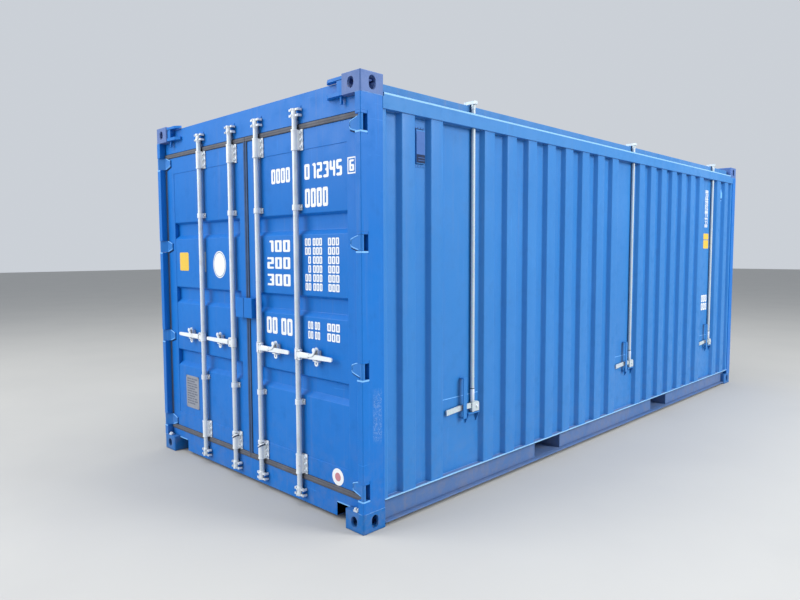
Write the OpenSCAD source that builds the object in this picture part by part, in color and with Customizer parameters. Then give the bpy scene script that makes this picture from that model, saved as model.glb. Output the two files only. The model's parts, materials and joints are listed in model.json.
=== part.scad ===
// Twenty-foot steel container with a lift-off hard roof and two hinged end doors.
// The origin is the centre of the footprint at ground level. +Z is up, +Y runs away from
// the doors and +X is to the right of someone who faces the doors. Millimetres.
// Two distances are used throughout: e is measured inward from a side face, and d is
// measured inward from an end face.

/* [Overall] */
// Length over the corner fittings
body_l = 6058; // [5400:1:6600]
// Width over the corner fittings
body_w = 2438; // [2300:1:2600]
// Height over the corner fittings
body_h = 2591; // [2480:1:2900]

/* [Corner fittings] */
// Length of a fitting along the container
fitting_l = 178; // [170:1:190]
// Width of a fitting across the container
fitting_w = 162; // [150:1:175]
// Height of a fitting
fitting_h = 118; // [112:1:130]
// Thickness of the plate that carries the twist-lock slot
fitting_plate = 28.5; // [20:0.5:34]
// Thickness of the other walls of a fitting
fitting_wall = 16; // [10:1:22]
// Radius of a fitting's upright edges
fitting_r = 12; // [4:1:14]
// Radius of the edges round a fitting's slotted face
fitting_top_r = 6; // [2:1:8]
// Length of the twist-lock slot
slot_l = 124; // [100:1:130]
// Width of the twist-lock slot
slot_w = 63.5; // [50:0.5:75]
// Height of the lashing hole in the side face
side_hole_h = 79; // [56:1:86]
// Height of the lashing hole in the end face
end_hole_h = 64; // [54:1:80]
// Width of both lashing holes
hole_w = 51; // [40:1:53]

/* [Posts] */
// Width of a corner post seen from the end
post_w = 47; // [45:1:60]
// Depth of a post at the door end
rear_post_d = 170; // [150:1:176]
// Depth of a post at the closed end
front_post_d = 100; // [80:1:140]
// Wall thickness of a post
post_wall = 6; // [4:0.5:8]
// Radius of a post's upright edges
post_r = 5; // [2:0.5:6]

/* [Rails] */
// Height of the rails' underside above the ground
rail_z = 22; // [16:1:30]
// Height of the top of the bottom side rails
rail_top = 165; // [150:1:167]
// Plate thickness of the bottom rails
rail_t = 5; // [4:0.5:8]
// Height of the top side rails
top_rail_h = 89; // [75:1:110]
// Width of the top side rails
top_rail_w = 70; // [66:1:85]
// Level of the top of the top side rails, below the top of the fittings
top_rail_drop = 96; // [84:1:110]
// Wall thickness of the top rails and of the end beams
beam_t = 5; // [3:0.5:8]

/* [Underframe] */
// Level of the cargo floor
floor_z = 168; // [168:1:180]
// Thickness of the floor boards
floor_t = 28; // [20:1:32]
// Spacing of the cross members
cross_pitch = 285; // [250:1:400]
// Flange width of a cross member
cross_w = 45; // [40:1:60]
// Plate thickness of the cross members and fork pockets
cross_t = 4; // [3:0.5:6]
// Distance of each fork pocket from mid-length
pocket_y = 1040; // [900:1:1080]
// Clear width of a fork pocket
pocket_w = 360; // [350:1:380]
// Length of the closing plate under each end of a fork pocket
pocket_strap = 200; // [150:1:300]

/* [Walls] */
// Thickness of the wall sheets
wall_t = 2; // [1.5:0.1:3]
// Depth of the wall corrugations
wall_depth = 36; // [25:1:40]
// Width of the flat outer crest of a corrugation
crest_w = 110; // [90:1:125]
// Run of each sloping flank of a corrugation
flank_w = 18; // [10:1:26]
// Aimed spacing of the corrugations
wall_pitch = 253; // [200:1:300]
// Spacing of the two crests beside a flat bay that holds a roof rod
bay_pitch = 534; // [500:1:570]
// Distance of the first flat bay from the door end
bay_rear = 905; // [860:1:950]
// Distance of the middle flat bay beyond mid-length
bay_middle = 220; // [100:1:260]
// Distance of the last flat bay from the closed end
bay_front = 798; // [760:1:850]
// Width of the strip beside a post that is level with the crests
wall_end = 32; // [20:1:50]
// Smallest recess left beside that strip
wall_margin = 25; // [10:1:60]
// Width of a wall vent
vent_w = 78; // [60:1:86]
// Height of a wall vent
vent_h = 200; // [150:1:240]
// Width of the flange beside a vent
vent_side = 8; // [4:1:10]
// Height of the flange above and below a vent
vent_lip = 22; // [14:1:30]
// Depth of the vents' centre below the top side rail
vent_drop = 173; // [150:1:300]
// How far a vent stands out of the wall
vent_t = 14; // [8:1:20]
// Thickness of a vent's sheet
vent_sheet = 2; // [1:0.5:3]

/* [Roof] */
// Gap between the side face and the edge of the roof
roof_e = 46; // [44:1:52]
// Level of the top of the roof's edge frame, below the top of the fittings
roof_drop = 39; // [36:1:50]
// Width of the roof's edge frame
roof_edge_w = 60; // [50:1:80]
// Thickness of the roof sheet and of the edge frame
roof_t = 3; // [2:0.5:4]
// Spacing of the roof corrugations
roof_pitch = 209; // [180:1:260]
// Depth of the roof corrugations
roof_depth = 20; // [12:1:24]
// Number of bows under the roof
roof_bow_count = 5; // [3:1:8]
// Width of a roof bow
roof_bow_w = 60; // [40:1:80]
// Depth of a roof bow
roof_bow_h = 30; // [20:1:40]
// Free gap between the roof and the end beams
roof_gap = 5; // [3:1:10]

/* [End beams] */
// Gap between the end face and the front of the header
beam_d = 8; // [4:1:20]
// Depth of the upper part of the end beams
beam_w = 176; // [150:1:190]
// Level of the top of the end beams, below the top of the fittings
beam_drop = 28; // [26:1:40]
// Level of the header's underside, below the top of the fittings
header_drop = 204; // [196:1:220]
// Depth of the header's upper part behind its face
header_w = 134; // [120:1:140]
// Depth of the header's lower part behind its face
header_low_w = 76; // [60:1:100]
// Level of the underside of the beam over the closed end, below the top of the fittings
front_beam_drop = 186; // [170:1:210]
// Depth of the beams over and under the closed end wall
front_beam_w = 52; // [50:1:60]
// Length of the lugs that hold the header, along the header
lug_l = 165; // [140:1:180]
// Thickness of the upper lug
lug_t = 18; // [12:1:20]
// Thickness of the lower lug
low_lug_t = 22; // [16:1:24]
// Level of the top of the lower lug, below the top of the header
low_lug_drop = 63; // [56:1:66]
// Gap between each end of the header and what holds it
header_gap = 4; // [2:1:8]
// Length of a lug's tapering end
lug_cut = 42; // [20:1:60]
// Width of a lug at its tip
lug_tip = 14; // [8:1:30]
// Radius of the header's pins
header_pin_r = 9; // [6:1:12]
// Distance of the header's pins from the fittings
pin_off = 28; // [24:1:60]
// Distance of the header's pins in front of the middle of its ears
pin_out = 2; // [0:1:4]
// Length of the header's pins below the lower lug
pin_hang = 46; // [20:1:60]
// Length of the ears at the ends of the header
ear_l = 46; // [44:1:90]
// Distance of the ears' front behind the end face
ear_d = 12; // [10:1:16]
// Depth of the door sill behind its face
sill_w = 80; // [60:1:100]
// Width of the cut-out in the sill beside each fitting
sill_notch_w = 130; // [80:1:160]
// Height of the top of that cut-out
sill_notch_z = 106; // [90:1:112]

/* [Doors] */
// Distance of the doors' outer face behind the end face
leaf_d = 50; // [49:1:56]
// Thickness of a door
leaf_t = 50; // [44:1:60]
// Gap between a door's steel edge and its post
leaf_side_gap = 9; // [8:1:14]
// Gap between a door's steel edge and the other door's centre line
leaf_mid_gap = 20; // [14:1:24]
// Gap between a door's steel edge and the header
leaf_top_gap = 35; // [20:1:40]
// Gap between a door's steel edge and the sill
leaf_low_gap = 40; // [20:1:45]
// Height of a door's top frame member
leaf_top_w = 126; // [90:1:140]
// Height of a door's bottom frame member
leaf_low_w = 117; // [90:1:140]
// Width of a door's frame member at the hinges
leaf_hinge_w = 118; // [100:1:140]
// Width of a door's frame member at the middle
leaf_mid_w = 72; // [60:1:75]
// Set-back of the door's sheet behind its frame
sheet_set = 3; // [1:1:6]
// Thickness of the door's sheet
sheet_t = 3; // [2:0.5:4]
// Depth of the three channels pressed into the door's sheet
channel_depth = 30; // [20:1:34]
// Height of a channel
channel_h = 130; // [100:1:160]
// Height of a channel's lower sloping flank
channel_slope = 30; // [15:1:40]
// Heights of the tops of the three channels above the door's lower edge
channel_ups = [630, 1130, 1634];
// Gap between the doors' seals and what they face
seal_gap = 5; // [4:1:8]
// Distance of the seals' front behind the end face
seal_d = 44; // [43:1:48]
// Thickness of the seals
seal_t = 16; // [10:1:24]

/* [Hinges] */
// Distance of the hinge pins behind the side face and behind the end face
pin_in = 13; // [13:0.5:15]
// Radius of a hinge knuckle
knuckle_r = 13; // [11:0.5:13]
// Radius of a hinge pin
pin_r = 8; // [5:0.5:9]
// Radial running clearance of the pins
run_gap = 0.05; // [0.02:0.01:0.1]
// Height of a hinge blade
blade_h = 90; // [70:1:110]
// Height of a hinge blade at its narrow end
blade_end_h = 50; // [30:1:70]
// Distance of the blade's narrow end from the side face
blade_e = 138; // [110:1:160]
// Thickness of a blade on the door
blade_t = 8; // [6:1:10]
// Distance of the bend in a blade's face from the door's steel edge
blade_bend = 6; // [2:1:12]
// Height of that bend above the rest of the blade's face
blade_rise = 2; // [0:1:4]
// Distance of the bend in a blade's back from the door's steel edge
blade_back = 4; // [2:1:8]
// Gap between a blade and its lugs
blade_gap = 1; // [0.5:0.5:3]
// Thickness of the lugs above and below a blade
hinge_lug_t = 16; // [10:1:24]
// How far the post is cut back at each hinge
notch_d = 52; // [50:1:60]
// Heights of the two lower hinges above the door's lower edge
hinge_ups = [35, 729];
// Depths of the two upper hinges below the door's upper edge
hinge_downs = [696, 40];

/* [Door rods] */
// Distance of the inner rods from the middle
rod_x_in = 164; // [140:1:190]
// Distance of the outer rods from the middle
rod_x_out = 591; // [560:1:620]
// Distance of the rods' axes behind the end face
rod_d = 25; // [24:1:28]
// Radius of a rod
rod_r = 17; // [14:0.5:17]
// Depth of the middle of the lower keepers below the cargo floor
keeper_down = 78; // [70:1:90]
// Height of the middle of the upper keepers above the header's underside
keeper_up = 65; // [60:1:100]
// Height of a keeper's back plate
keeper_h = 84; // [60:1:96]
// Width of a keeper's back plate
keeper_w = 74; // [66:1:90]
// Thickness of a keeper's back plate
keeper_t = 4; // [3:0.5:4]
// Distance of a keeper's two lugs from the rod's axis
keeper_in = 22; // [22:1:26]
// Width of a keeper's lugs
keeper_lug_w = 12; // [8:1:16]
// Height of a keeper's lugs
keeper_lug_h = 18; // [10:1:19]
// Distance of the lugs' front behind the end face
keeper_front = 22; // [12:1:30]
// Height of a cam
cam_h = 48; // [44:1:56]
// Thickness of each horn of a cam
horn_t = 13; // [8:1:13]
// Reach of a cam's horn beside the rod
horn_l = 34; // [26:1:36]
// Width of that horn
horn_w = 18; // [12:1:22]
// Reach of the nose at the front of a cam's horns
nose_l = 23; // [21:0.5:23]
// Width of that nose
nose_w = 16; // [10:1:18]
// Angle between that nose and the horn beside the rod
nose_turn = 105; // [90:5:110]
// Wall thickness of the sleeve between a cam's horns
sleeve_t = 2.5; // [1:0.5:3]
// Outer radius of a cam's horns round the rod
cam_r = 20; // [19.5:0.5:20]
// Height of the cone beside a cam
flare_h = 14; // [8:1:24]
// Outer radius of the rod brackets
bracket_r = 22; // [20:0.5:23]
// Height of the large brackets
bracket_h = 126; // [90:1:140]
// Height of the raised rings at the ends of the large brackets
ring_h = 9; // [6:1:14]
// How far those rings stand out
ring_t = 1.5; // [0.5:0.5:1.5]
// Height of the small brackets
guide_h = 34; // [25:1:45]
// Width of the flange of the large brackets
flange_w = 54; // [44:1:80]
// Thickness of the brackets' flanges
flange_t = 6; // [4:1:8]
// Width of the flange of the small brackets
guide_w = 34; // [26:1:50]
// Heights of the centres of the small brackets above the door's lower edge
guide_ups = [460, 1672];
// Gap between a large bracket and the edge of its door
bracket_edge = 1; // [0:1:20]
// Height of the handles
handle_z = 972; // [940:1:1080]
// Reach of a handle from its rod
handle_l = 350; // [300:1:380]
// Thickness of a handle
handle_t = 9; // [7:1:10]
// Distance of the handles behind the end face
handle_d = 8; // [6:1:10]
// Height of a handle at its rod
handle_root = 36; // [28:1:40]
// Radius of a handle's round end
handle_tip_r = 12; // [10:0.5:16]
// Height of the clamp that holds a handle on its rod
hub_h = 64; // [36:1:76]
// Wall thickness of that clamp
hub_wall = 4; // [3:0.5:5]
// Reach of that clamp along the handle
clamp_l = 42; // [34:1:50]
// Thickness of that clamp's block
clamp_t = 18; // [12:1:24]
// Distance of a handle catch from its rod
catch_x = 185; // [140:1:220]
// Width of a handle catch
catch_w = 34; // [26:1:50]
// Height of a handle catch
catch_h = 116; // [90:1:130]
// Depth of a catch's shelf below the middle of its handle
catch_under = 20; // [20:1:24]
// Set-back of that shelf behind the face of its handle
catch_set = 2; // [1:1:6]
// Radius of the hole in a catch
catch_hole_r = 6; // [3:0.5:8]
// Gap between a handle and the plate of its catch
catch_gap = 6; // [5:1:8]
// Width of the stem that carries that plate
catch_stem_w = 24; // [14:1:26]
// Height of that stem
catch_stem_h = 70; // [30:1:80]
// Height of the lock box's centre
box_z = 1228; // [1150:1:1300]
// Height of the lock box
box_h = 135; // [100:1:160]
// Reach of the lock box on each door from the middle
box_l = 98; // [80:1:120]
// Plate thickness of the lock box
box_t = 5; // [4:1:8]

/* [Roof rods] */
// Radius of a roof rod
lift_r = 13; // [10:0.5:13]
// Distance of the roof rods' axes behind the side face
lift_e = 27; // [26:1:28]
// Distance of a roof rod beyond the centre of its bay
lift_off = 110; // [80:1:130]
// Height of the lower end of the roof rods
lift_z = 530; // [500:1:620]
// Radius of the rings on a roof rod
collar_r = 14.5; // [14:0.5:14.5]
// Heights of the rings above the rod's foot
collar_ups = [162, 237];
// Height of those rings
collar_h = 8; // [5:1:12]
// Length of a roof rod below its block
lift_foot = 3; // [2:1:20]
// Height of the block at the foot of a roof rod
lift_hub_h = 66; // [50:1:80]
// Length of that block beyond the rod's axis
lift_hub_l = 60; // [30:1:66]
// Thickness of that block
lift_hub_t = 26; // [20:1:28]
// Radius of that block's upper outer edge
hub_end_r = 20; // [8:1:26]
// Height of the middle of the handle above the rod's foot
lift_handle_up = 46; // [38:1:48]
// Reach of a roof rod's handle
lift_handle_l = 268; // [200:1:290]
// Height of a roof rod's handle bar
lift_handle_h = 34; // [16:1:40]
// How far the outer half of the handle bar is set down
lift_handle_drop = 10; // [0:1:14]
// Thickness of a roof rod's handle bar
lift_handle_t = 10; // [6:1:12]
// Thickness of the arm that grips the roof
arm_t = 20; // [14:1:24]
// Width of that arm
arm_w = 30; // [24:1:40]
// Gap between that arm and its seat on the roof
arm_gap = 0.3; // [0.1:0.1:2]
// Depth of the lip at the arm's inner end
arm_lip = 4; // [3:1:6]
// Thickness of that lip
arm_lip_t = 9; // [6:1:14]
// Gap between that lip and the seat
arm_lip_gap = 6; // [5:1:10]
// Height of the boss under the arm
boss_h = 34; // [10:1:40]
// Radius of that boss
boss_r = 14; // [13.5:0.5:14]
// Reach of that arm over the roof
arm_l = 68; // [60:1:90]
// Distance of the arm's outer end behind the side face
arm_e = 5; // [2:1:12]
// Height of the arm above the roof's edge frame
arm_up = 9; // [7:1:12]
// Radial clearance of the rods in the top rail
rail_bore_gap = 1.5; // [1:0.5:3]
// Distance of the strap from its rod
strap_off = 102; // [90:1:130]
// Length of the strap above the bottom of the rod
strap_up = 246; // [190:1:280]
// Length of the strap below the bottom of the rod
strap_down = 26; // [20:1:50]
// Width of a strap
strap_w = 34; // [20:1:45]
// Thickness of a strap
strap_t = 5; // [4:1:6]
// Distance of the strap behind the side face
strap_e = 4; // [2:1:6]
// Thickness of the shelf under each roof rod
shelf_t = 8; // [6:1:14]
// Reach of the shelf beyond the rod's axis
shelf_l = 58; // [40:1:70]
// Distance of the shelf's front behind the side face
shelf_e = 9; // [4:1:16]
// Thickness of the plate behind the foot of each roof rod
back_t = 2; // [1:0.5:2.5]
// Gap between that plate and the slope beside it
back_edge = 8; // [4:1:20]
// Height of that plate above the bottom of the rod
back_up = 120; // [100:1:150]
// Depth of that plate and of its gussets below the bottom of the rod
back_down = 68; // [50:1:100]
// Thickness of the gussets under the shelf
gusset_t = 5; // [4:1:8]

/* [Hidden] */

$fn = 48;
eps = 1;
blue = [0.10, 0.33, 0.68];
zinc = [0.72, 0.74, 0.76];
seal_colour = [0.32, 0.29, 0.29];
board = [0.55, 0.36, 0.20];

hl = body_l / 2;
hw = body_w / 2;
post_x = hw - post_w;
top_fit_z = body_h - fitting_h;
rail_end_rear = -hl + rear_post_d;
rail_end_front = hl - front_post_d;
top_rail_z1 = body_h - top_rail_drop;
top_rail_z0 = top_rail_z1 - top_rail_h;
beam_top = body_h - beam_drop;
header_z = body_h - header_drop;
front_beam_z = body_h - front_beam_drop;
low_beam_top = top_fit_z;
floor_under = floor_z - floor_t;
pocket_top = floor_under - cross_t;
pocket_z = rail_z + rail_t;

recess_e = post_w - wall_t - eps;
crest_e = recess_e - wall_depth;
bays = [-hl + bay_rear, bay_middle, hl - bay_front];

leaf_x0 = leaf_mid_gap;
leaf_x1 = post_x - leaf_side_gap;
leaf_z0 = floor_z + leaf_low_gap;
leaf_z1 = header_z - leaf_top_gap;
leaf_y = -hl + leaf_d;
rod_y = -hl + rod_d;
pin_x = hw - pin_in;
pin_y = -hl + pin_in;
lug_z1 = beam_top + lug_t + eps;
low_lug_z1 = beam_top - low_lug_drop;
keeper_zs = [floor_z - keeper_down, header_z + keeper_up];
rod_z0 = keeper_zs[0] - cam_h / 2;
rod_z1 = keeper_zs[1] + cam_h / 2;
hinge_z = [leaf_z0 + hinge_ups[0], leaf_z0 + hinge_ups[1],
    leaf_z1 - hinge_downs[0], leaf_z1 - hinge_downs[1]];
rod_xs = [-rod_x_out, -rod_x_in, rod_x_in, rod_x_out];
notch_h = blade_h + 2 * (blade_gap + hinge_lug_t);

roof_x = hw - roof_e;
roof_y = hl - max(beam_d + beam_w, leaf_d + header_w) - roof_gap;
roof_top = body_h - roof_drop;
roof_h = roof_top - top_rail_z1;
arm_z0 = roof_top + arm_up;
arm_z1 = arm_z0 + arm_t;
lift_ys = [for (b = bays) b + lift_off];

// Both sides of the container, from the right-hand one
module sides() {
    children();
    mirror([1, 0, 0]) children();
}

// All four corners, from the right-hand one at the door end
module corners() {
    sides() children();
    mirror([0, 1, 0]) sides() children();
}

// A long hole with round ends along Z, centred, with its axis along Z
module slot(length, width, depth) {
    straight = (length - width) / 2;
    for (s = [-1, 1]) translate([0, s * straight, 0])
        cylinder(h = depth, d = width, center = true);
    cube([width, 2 * straight, depth], center = true);
}

// A rectangle from the origin with all its corners rounded
module round_square(w, h, r) {
    translate([r, 0]) square([w - 2 * r, h]);
    translate([0, r]) square([w, h - 2 * r]);
    for (x = [r, w - r], y = [r, h - r]) translate([x, y]) circle(r = r);
}

// A rectangle that hangs below the X axis, with its two upper corners rounded
module arch_square(w, h, r) {
    translate([r, -h]) square([w - 2 * r, h]);
    translate([0, -h]) square([w, h - r]);
    for (x = [r, w - r]) translate([x, -r]) circle(r = r);
}

// The outer shape of a corner fitting, with z = 0 at its slotted face
module fitting_block() {
    intersection() {
        translate([0, 0, -fitting_h]) linear_extrude(fitting_h)
            round_square(fitting_w, fitting_l, fitting_r);
        translate([0, fitting_l, 0]) rotate([90, 0, 0]) linear_extrude(fitting_l)
            arch_square(fitting_w, fitting_h, fitting_top_r);
        rotate([90, 0, 90]) linear_extrude(fitting_w)
            arch_square(fitting_l, fitting_h, fitting_top_r);
    }
}

// A hollow casting with a slot in its top and a hole in its side and end faces.
// It is drawn as a top fitting for the right-hand door-end corner, with z = 0 at its top.
module fitting() {
    cavity_h = fitting_h - fitting_plate - fitting_wall;
    mid = -fitting_h / 2;
    difference() {
        translate([hw - fitting_w, -hl, 0]) fitting_block();
        translate([hw - fitting_w + fitting_wall, -hl + fitting_wall, -fitting_plate - cavity_h])
            cube([fitting_w - 2 * fitting_wall, fitting_l - 2 * fitting_wall, cavity_h]);
        translate([hw - fitting_w / 2, -hl + fitting_l / 2, 0])
            slot(slot_l, slot_w, 3 * fitting_plate);
        translate([hw, -hl + fitting_l / 2, mid]) rotate([90, 0, 90])
            slot(side_hole_h, hole_w, 3 * fitting_wall);
        translate([hw - fitting_w / 2, -hl, mid]) rotate([90, 0, 0])
            slot(end_hole_h, hole_w, 3 * fitting_wall);
    }
}

module bottom_fittings_rear() {
    color(blue) sides() mirror([0, 0, 1]) fitting();
}

module bottom_fittings_front() {
    color(blue) mirror([0, 1, 0]) sides() mirror([0, 0, 1]) fitting();
}

module top_fittings_rear() {
    color(blue) sides() translate([0, 0, body_h]) fitting();
}

module top_fittings_front() {
    color(blue) mirror([0, 1, 0]) sides() translate([0, 0, body_h]) fitting();
}

// A rectangular tube that stands up, with its corner at the origin
module tube(w, d, h, wall) {
    linear_extrude(h) difference() {
        round_square(w, d, post_r);
        translate([wall, wall]) square([w - 2 * wall, d - 2 * wall]);
    }
}

module hinge_cut(z) {
    translate([post_x - eps, -hl - eps, z - notch_h / 2])
        cube([post_w + 2 * eps, notch_d + eps, notch_h]);
}

module rear_posts() {
    color(blue) sides() difference() {
        translate([post_x, -hl, fitting_h])
            tube(post_w, rear_post_d, top_fit_z - fitting_h, post_wall);
        for (z = hinge_z) hinge_cut(z);
    }
}

module front_posts() {
    color(blue) sides() translate([post_x, hl - front_post_d, fitting_h])
        tube(post_w, front_post_d, top_fit_z - fitting_h, post_wall);
}

// The two ears and the pin that carry one hinge blade
module hinge_lug(z) {
    for (s = [-1, 1]) translate([post_x, -hl, z + s * (notch_h - hinge_lug_t) / 2 - hinge_lug_t / 2])
        linear_extrude(hinge_lug_t) round_square(post_w, notch_d, post_r);
    translate([pin_x, pin_y, z - notch_h / 2]) cylinder(h = notch_h, r = pin_r);
}

module hinge_lugs() {
    color(blue) sides() for (z = hinge_z) hinge_lug(z);
}

// The blocks that the corner fittings fill
module fitting_blocks() {
    for (z = [0, top_fit_z]) corners() translate([hw - fitting_w, -hl, z])
        cube([fitting_w, fitting_l, fitting_h]);
}

// The bottom side rails are channels, open to the outside: here their flanges, the upper
// ones with the strip of web over the fork pockets
module bottom_rail_flanges() {
    run = rail_end_front - rail_end_rear;
    strip = rail_top - pocket_top;
    color(blue) sides() difference() {
        union() {
            translate([post_x, rail_end_rear, rail_z]) cube([post_w, run, rail_t]);
            translate([post_x, rail_end_rear, rail_top - rail_t]) cube([post_w, run, rail_t]);
            translate([post_x, rail_end_rear, pocket_top]) cube([rail_t, run, strip]);
        }
        fitting_blocks();
    }
}

// The rest of their webs, beside and between the fork pockets
module bottom_rail_webs() {
    y0 = max(rail_end_rear, -hl + fitting_l);
    y1 = min(rail_end_front, hl - fitting_l);
    h = pocket_top - pocket_z;
    color(blue) sides() difference() {
        translate([post_x, y0, pocket_z]) cube([rail_t, y1 - y0, h]);
        for (s = [-1, 1]) translate([post_x - eps, s * pocket_y - pocket_w / 2, pocket_z - eps])
            cube([rail_t + 2 * eps, pocket_w, h + 2 * eps]);
    }
}

module top_side_rails() {
    run = rail_end_front - rail_end_rear;
    color(blue) sides() difference() {
        translate([hw - top_rail_w, rail_end_rear, top_rail_z0]) difference() {
            cube([top_rail_w, run, top_rail_h]);
            translate([beam_t, -eps, beam_t])
                cube([top_rail_w - 2 * beam_t, run + 2 * eps, top_rail_h - 2 * beam_t]);
        }
        fitting_blocks();
        for (y = lift_ys) translate([hw - lift_e, y, top_rail_z0 - eps])
            cylinder(h = top_rail_h + 2 * eps, r = lift_r + rail_bore_gap);
    }
}

// The profile of the door sill: a closed box with its face level with the doors
module door_sill() {
    y0 = -hl + leaf_d;
    color(blue) difference() {
        translate([-post_x, y0, rail_z]) cube([2 * post_x, sill_w, floor_z - rail_z]);
        translate([-post_x - eps, y0 + rail_t, rail_z + rail_t])
            cube([2 * (post_x + eps), sill_w - 2 * rail_t, floor_z - rail_z - 2 * rail_t]);
        fitting_blocks();
        sides() translate([hw - fitting_w - sill_notch_w, y0 - eps, 0])
            cube([sill_notch_w + eps, sill_w + 2 * eps, sill_notch_z]);
    }
}

// A stepped hollow beam with an upright face: the upper part lies between the fittings and
// the lower part lies between the posts. An ear at each end turns on a pin.
module door_header() {
    x_up = hw - fitting_w - header_gap;
    x_low = post_x - header_gap;
    y0 = -hl + leaf_d;
    ear_z = low_lug_z1 + eps;
    color(blue) difference() {
        union() {
            translate([-x_up, y0, low_beam_top])
                cube([2 * x_up, header_w, beam_top - low_beam_top]);
            translate([-x_low, y0, header_z])
                cube([2 * x_low, header_low_w, low_beam_top - header_z]);
            sides() translate([x_up - ear_l, -hl + ear_d, ear_z])
                cube([ear_l, leaf_d - ear_d + eps, beam_top - ear_z]);
        }
        translate([-x_up + beam_t, y0 + beam_t, low_beam_top + beam_t])
            cube([2 * (x_up - beam_t), header_w - 2 * beam_t, beam_top - low_beam_top - 2 * beam_t]);
        translate([-x_low + beam_t, y0 + beam_t, header_z + beam_t])
            cube([2 * (x_low - beam_t), header_low_w - 2 * beam_t, low_beam_top - header_z - 2 * beam_t]);
        sides() header_pin(header_pin_r + run_gap);
    }
}

module header_pin(r) {
    z0 = low_lug_z1 - low_lug_t - pin_hang;
    translate([hw - fitting_w - pin_off, -hl + (ear_d + leaf_d) / 2 - pin_out, z0])
        cylinder(h = lug_z1 + 2 * eps - z0, r = r);
}

// A plate in front of the header that tapers to its free end
module header_lug(z, t) {
    x0 = hw - fitting_w;
    translate([0, -hl, z]) linear_extrude(t) polygon([[x0, beam_d], [x0, leaf_d],
        [x0 - lug_l, leaf_d], [x0 - lug_l, leaf_d - lug_tip], [x0 - lug_l + lug_cut, beam_d]]);
}

// The plates that hold each end of the header, with the pin through them
module header_lugs() {
    color(blue) sides() {
        header_lug(beam_top + eps, lug_t);
        header_lug(low_lug_z1 - low_lug_t, low_lug_t);
        header_pin(header_pin_r);
    }
}

// The two beams that frame the closed end wall
module end_beam(z0, z1) {
    difference() {
        translate([-post_x, hl - beam_d - front_beam_w, z0])
            cube([2 * post_x, front_beam_w, z1 - z0]);
        translate([-post_x - eps, hl - beam_d - front_beam_w + beam_t, z0 + beam_t])
            cube([2 * (post_x + eps), front_beam_w - 2 * beam_t, z1 - z0 - 2 * beam_t]);
        fitting_blocks();
    }
}

// The sill of the closed end, and the plates that close the side rails over the fittings
module front_sill() {
    color(blue) {
        end_beam(rail_z, floor_z);
        sides() translate([post_x, hl - fitting_l, fitting_h])
            cube([rail_t, fitting_l - front_post_d, pocket_top - fitting_h]);
    }
}

module front_top_rail() {
    x_up = hw - fitting_w;
    color(blue) {
        end_beam(front_beam_z, low_beam_top);
        difference() {
            translate([-x_up, hl - beam_d - beam_w, low_beam_top])
                cube([2 * x_up, beam_w, beam_top - low_beam_top]);
            translate([-x_up - eps, hl - beam_d - beam_w + beam_t, low_beam_top + beam_t])
                cube([2 * (x_up + eps), beam_w - 2 * beam_t, beam_top - low_beam_top - 2 * beam_t]);
        }
    }
}

// A channel that runs across the container, open towards +Y
module cross_member(y) {
    h = floor_under - rail_z;
    translate([-post_x, y, rail_z]) difference() {
        cube([2 * post_x, cross_w, h]);
        translate([-eps, cross_t, cross_t]) cube([2 * (post_x + eps), cross_w, h - 2 * cross_t]);
    }
}

function near_pocket(y) = min([for (s = [-1, 1]) abs(y + cross_w / 2 - s * pocket_y)])
    < pocket_w / 2 + cross_t + cross_w;

module cross_members() {
    y0 = -hl + fitting_l + eps;
    y1 = hl - fitting_l - cross_w - eps;
    n = ceil((y1 - y0) / cross_pitch);
    color(blue) for (i = [0:n]) {
        y = y0 + i * (y1 - y0) / n;
        if (!near_pocket(y)) cross_member(y);
    }
}

// The walls of the two fork pockets
module fork_pocket_walls() {
    color(blue) for (s = [-1, 1], t = [-1, 1])
        translate([-post_x, s * pocket_y + t * (pocket_w + cross_t) / 2 - cross_t / 2, rail_z])
            cube([2 * post_x, cross_t, floor_under - rail_z]);
}

// Their tops, and the plates that close them underneath near each side
module fork_pocket_plates() {
    color(blue) for (s = [-1, 1]) translate([-post_x, s * pocket_y - pocket_w / 2, 0]) {
        translate([0, 0, pocket_top]) cube([2 * post_x, pocket_w, cross_t]);
        for (x = [0, 2 * post_x - pocket_strap]) translate([x, 0, rail_z])
            cube([pocket_strap, pocket_w, rail_t]);
    }
}

module floor_boards() {
    y0 = -hl + leaf_d + sill_w;
    y1 = hl - beam_d - front_beam_w;
    color(board) translate([-post_x, y0, floor_under]) cube([2 * post_x, y1 - y0, floor_t]);
}

// Crest centres between two given ones, at a spacing near the aimed one
function crest_run(a, b, n) = [for (i = [0:n]) a + (b - a) * i / n];
// Crest centres from one outward to a limit
function crest_out(a, limit, step) =
    abs(limit - a) < crest_w / 2 + 2 * flank_w + wall_margin + wall_end ? [] :
    concat([a], crest_out(a + step, limit, step));

function side_crests() =
    let (half = bay_pitch / 2,
        a = bays[0] + half, b = bays[1] - half, c = bays[1] + half, d = bays[2] - half)
    concat(
        [for (v = crest_out(bays[0] - half, rail_end_rear, -wall_pitch)) v],
        crest_run(a, b, max(1, round((b - a) / wall_pitch))),
        crest_run(c, d, max(1, round((d - c) / wall_pitch))),
        crest_out(bays[2] + half, rail_end_front, wall_pitch));

// The first group is found from the bay outward, so it is put in rising order here
function rising(v) = let (n = len(v)) n < 2 ? v :
    let (m = min(v)) concat([m], rising([for (x = v) if (x > m + eps) x]));

// Outline of a corrugated sheet: points along it, with the sheet's depth as the second value
function corrugation(centres, from, to, top, low, crest, flank) = concat([[from, low]],
    [for (c = centres) each [[c - crest / 2 - flank, low], [c - crest / 2, top],
        [c + crest / 2, top], [c + crest / 2 + flank, low]]],
    [[to, low]]);

// The same outline with a strip at each end that is level with the crests
function wall_line(centres, from, to, top, low) = concat([[from, top], [from + wall_end, top]],
    corrugation(centres, from + wall_end + flank_w, to - wall_end - flank_w, top, low,
        crest_w, flank_w),
    [[to - wall_end, top], [to, top]]);

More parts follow.
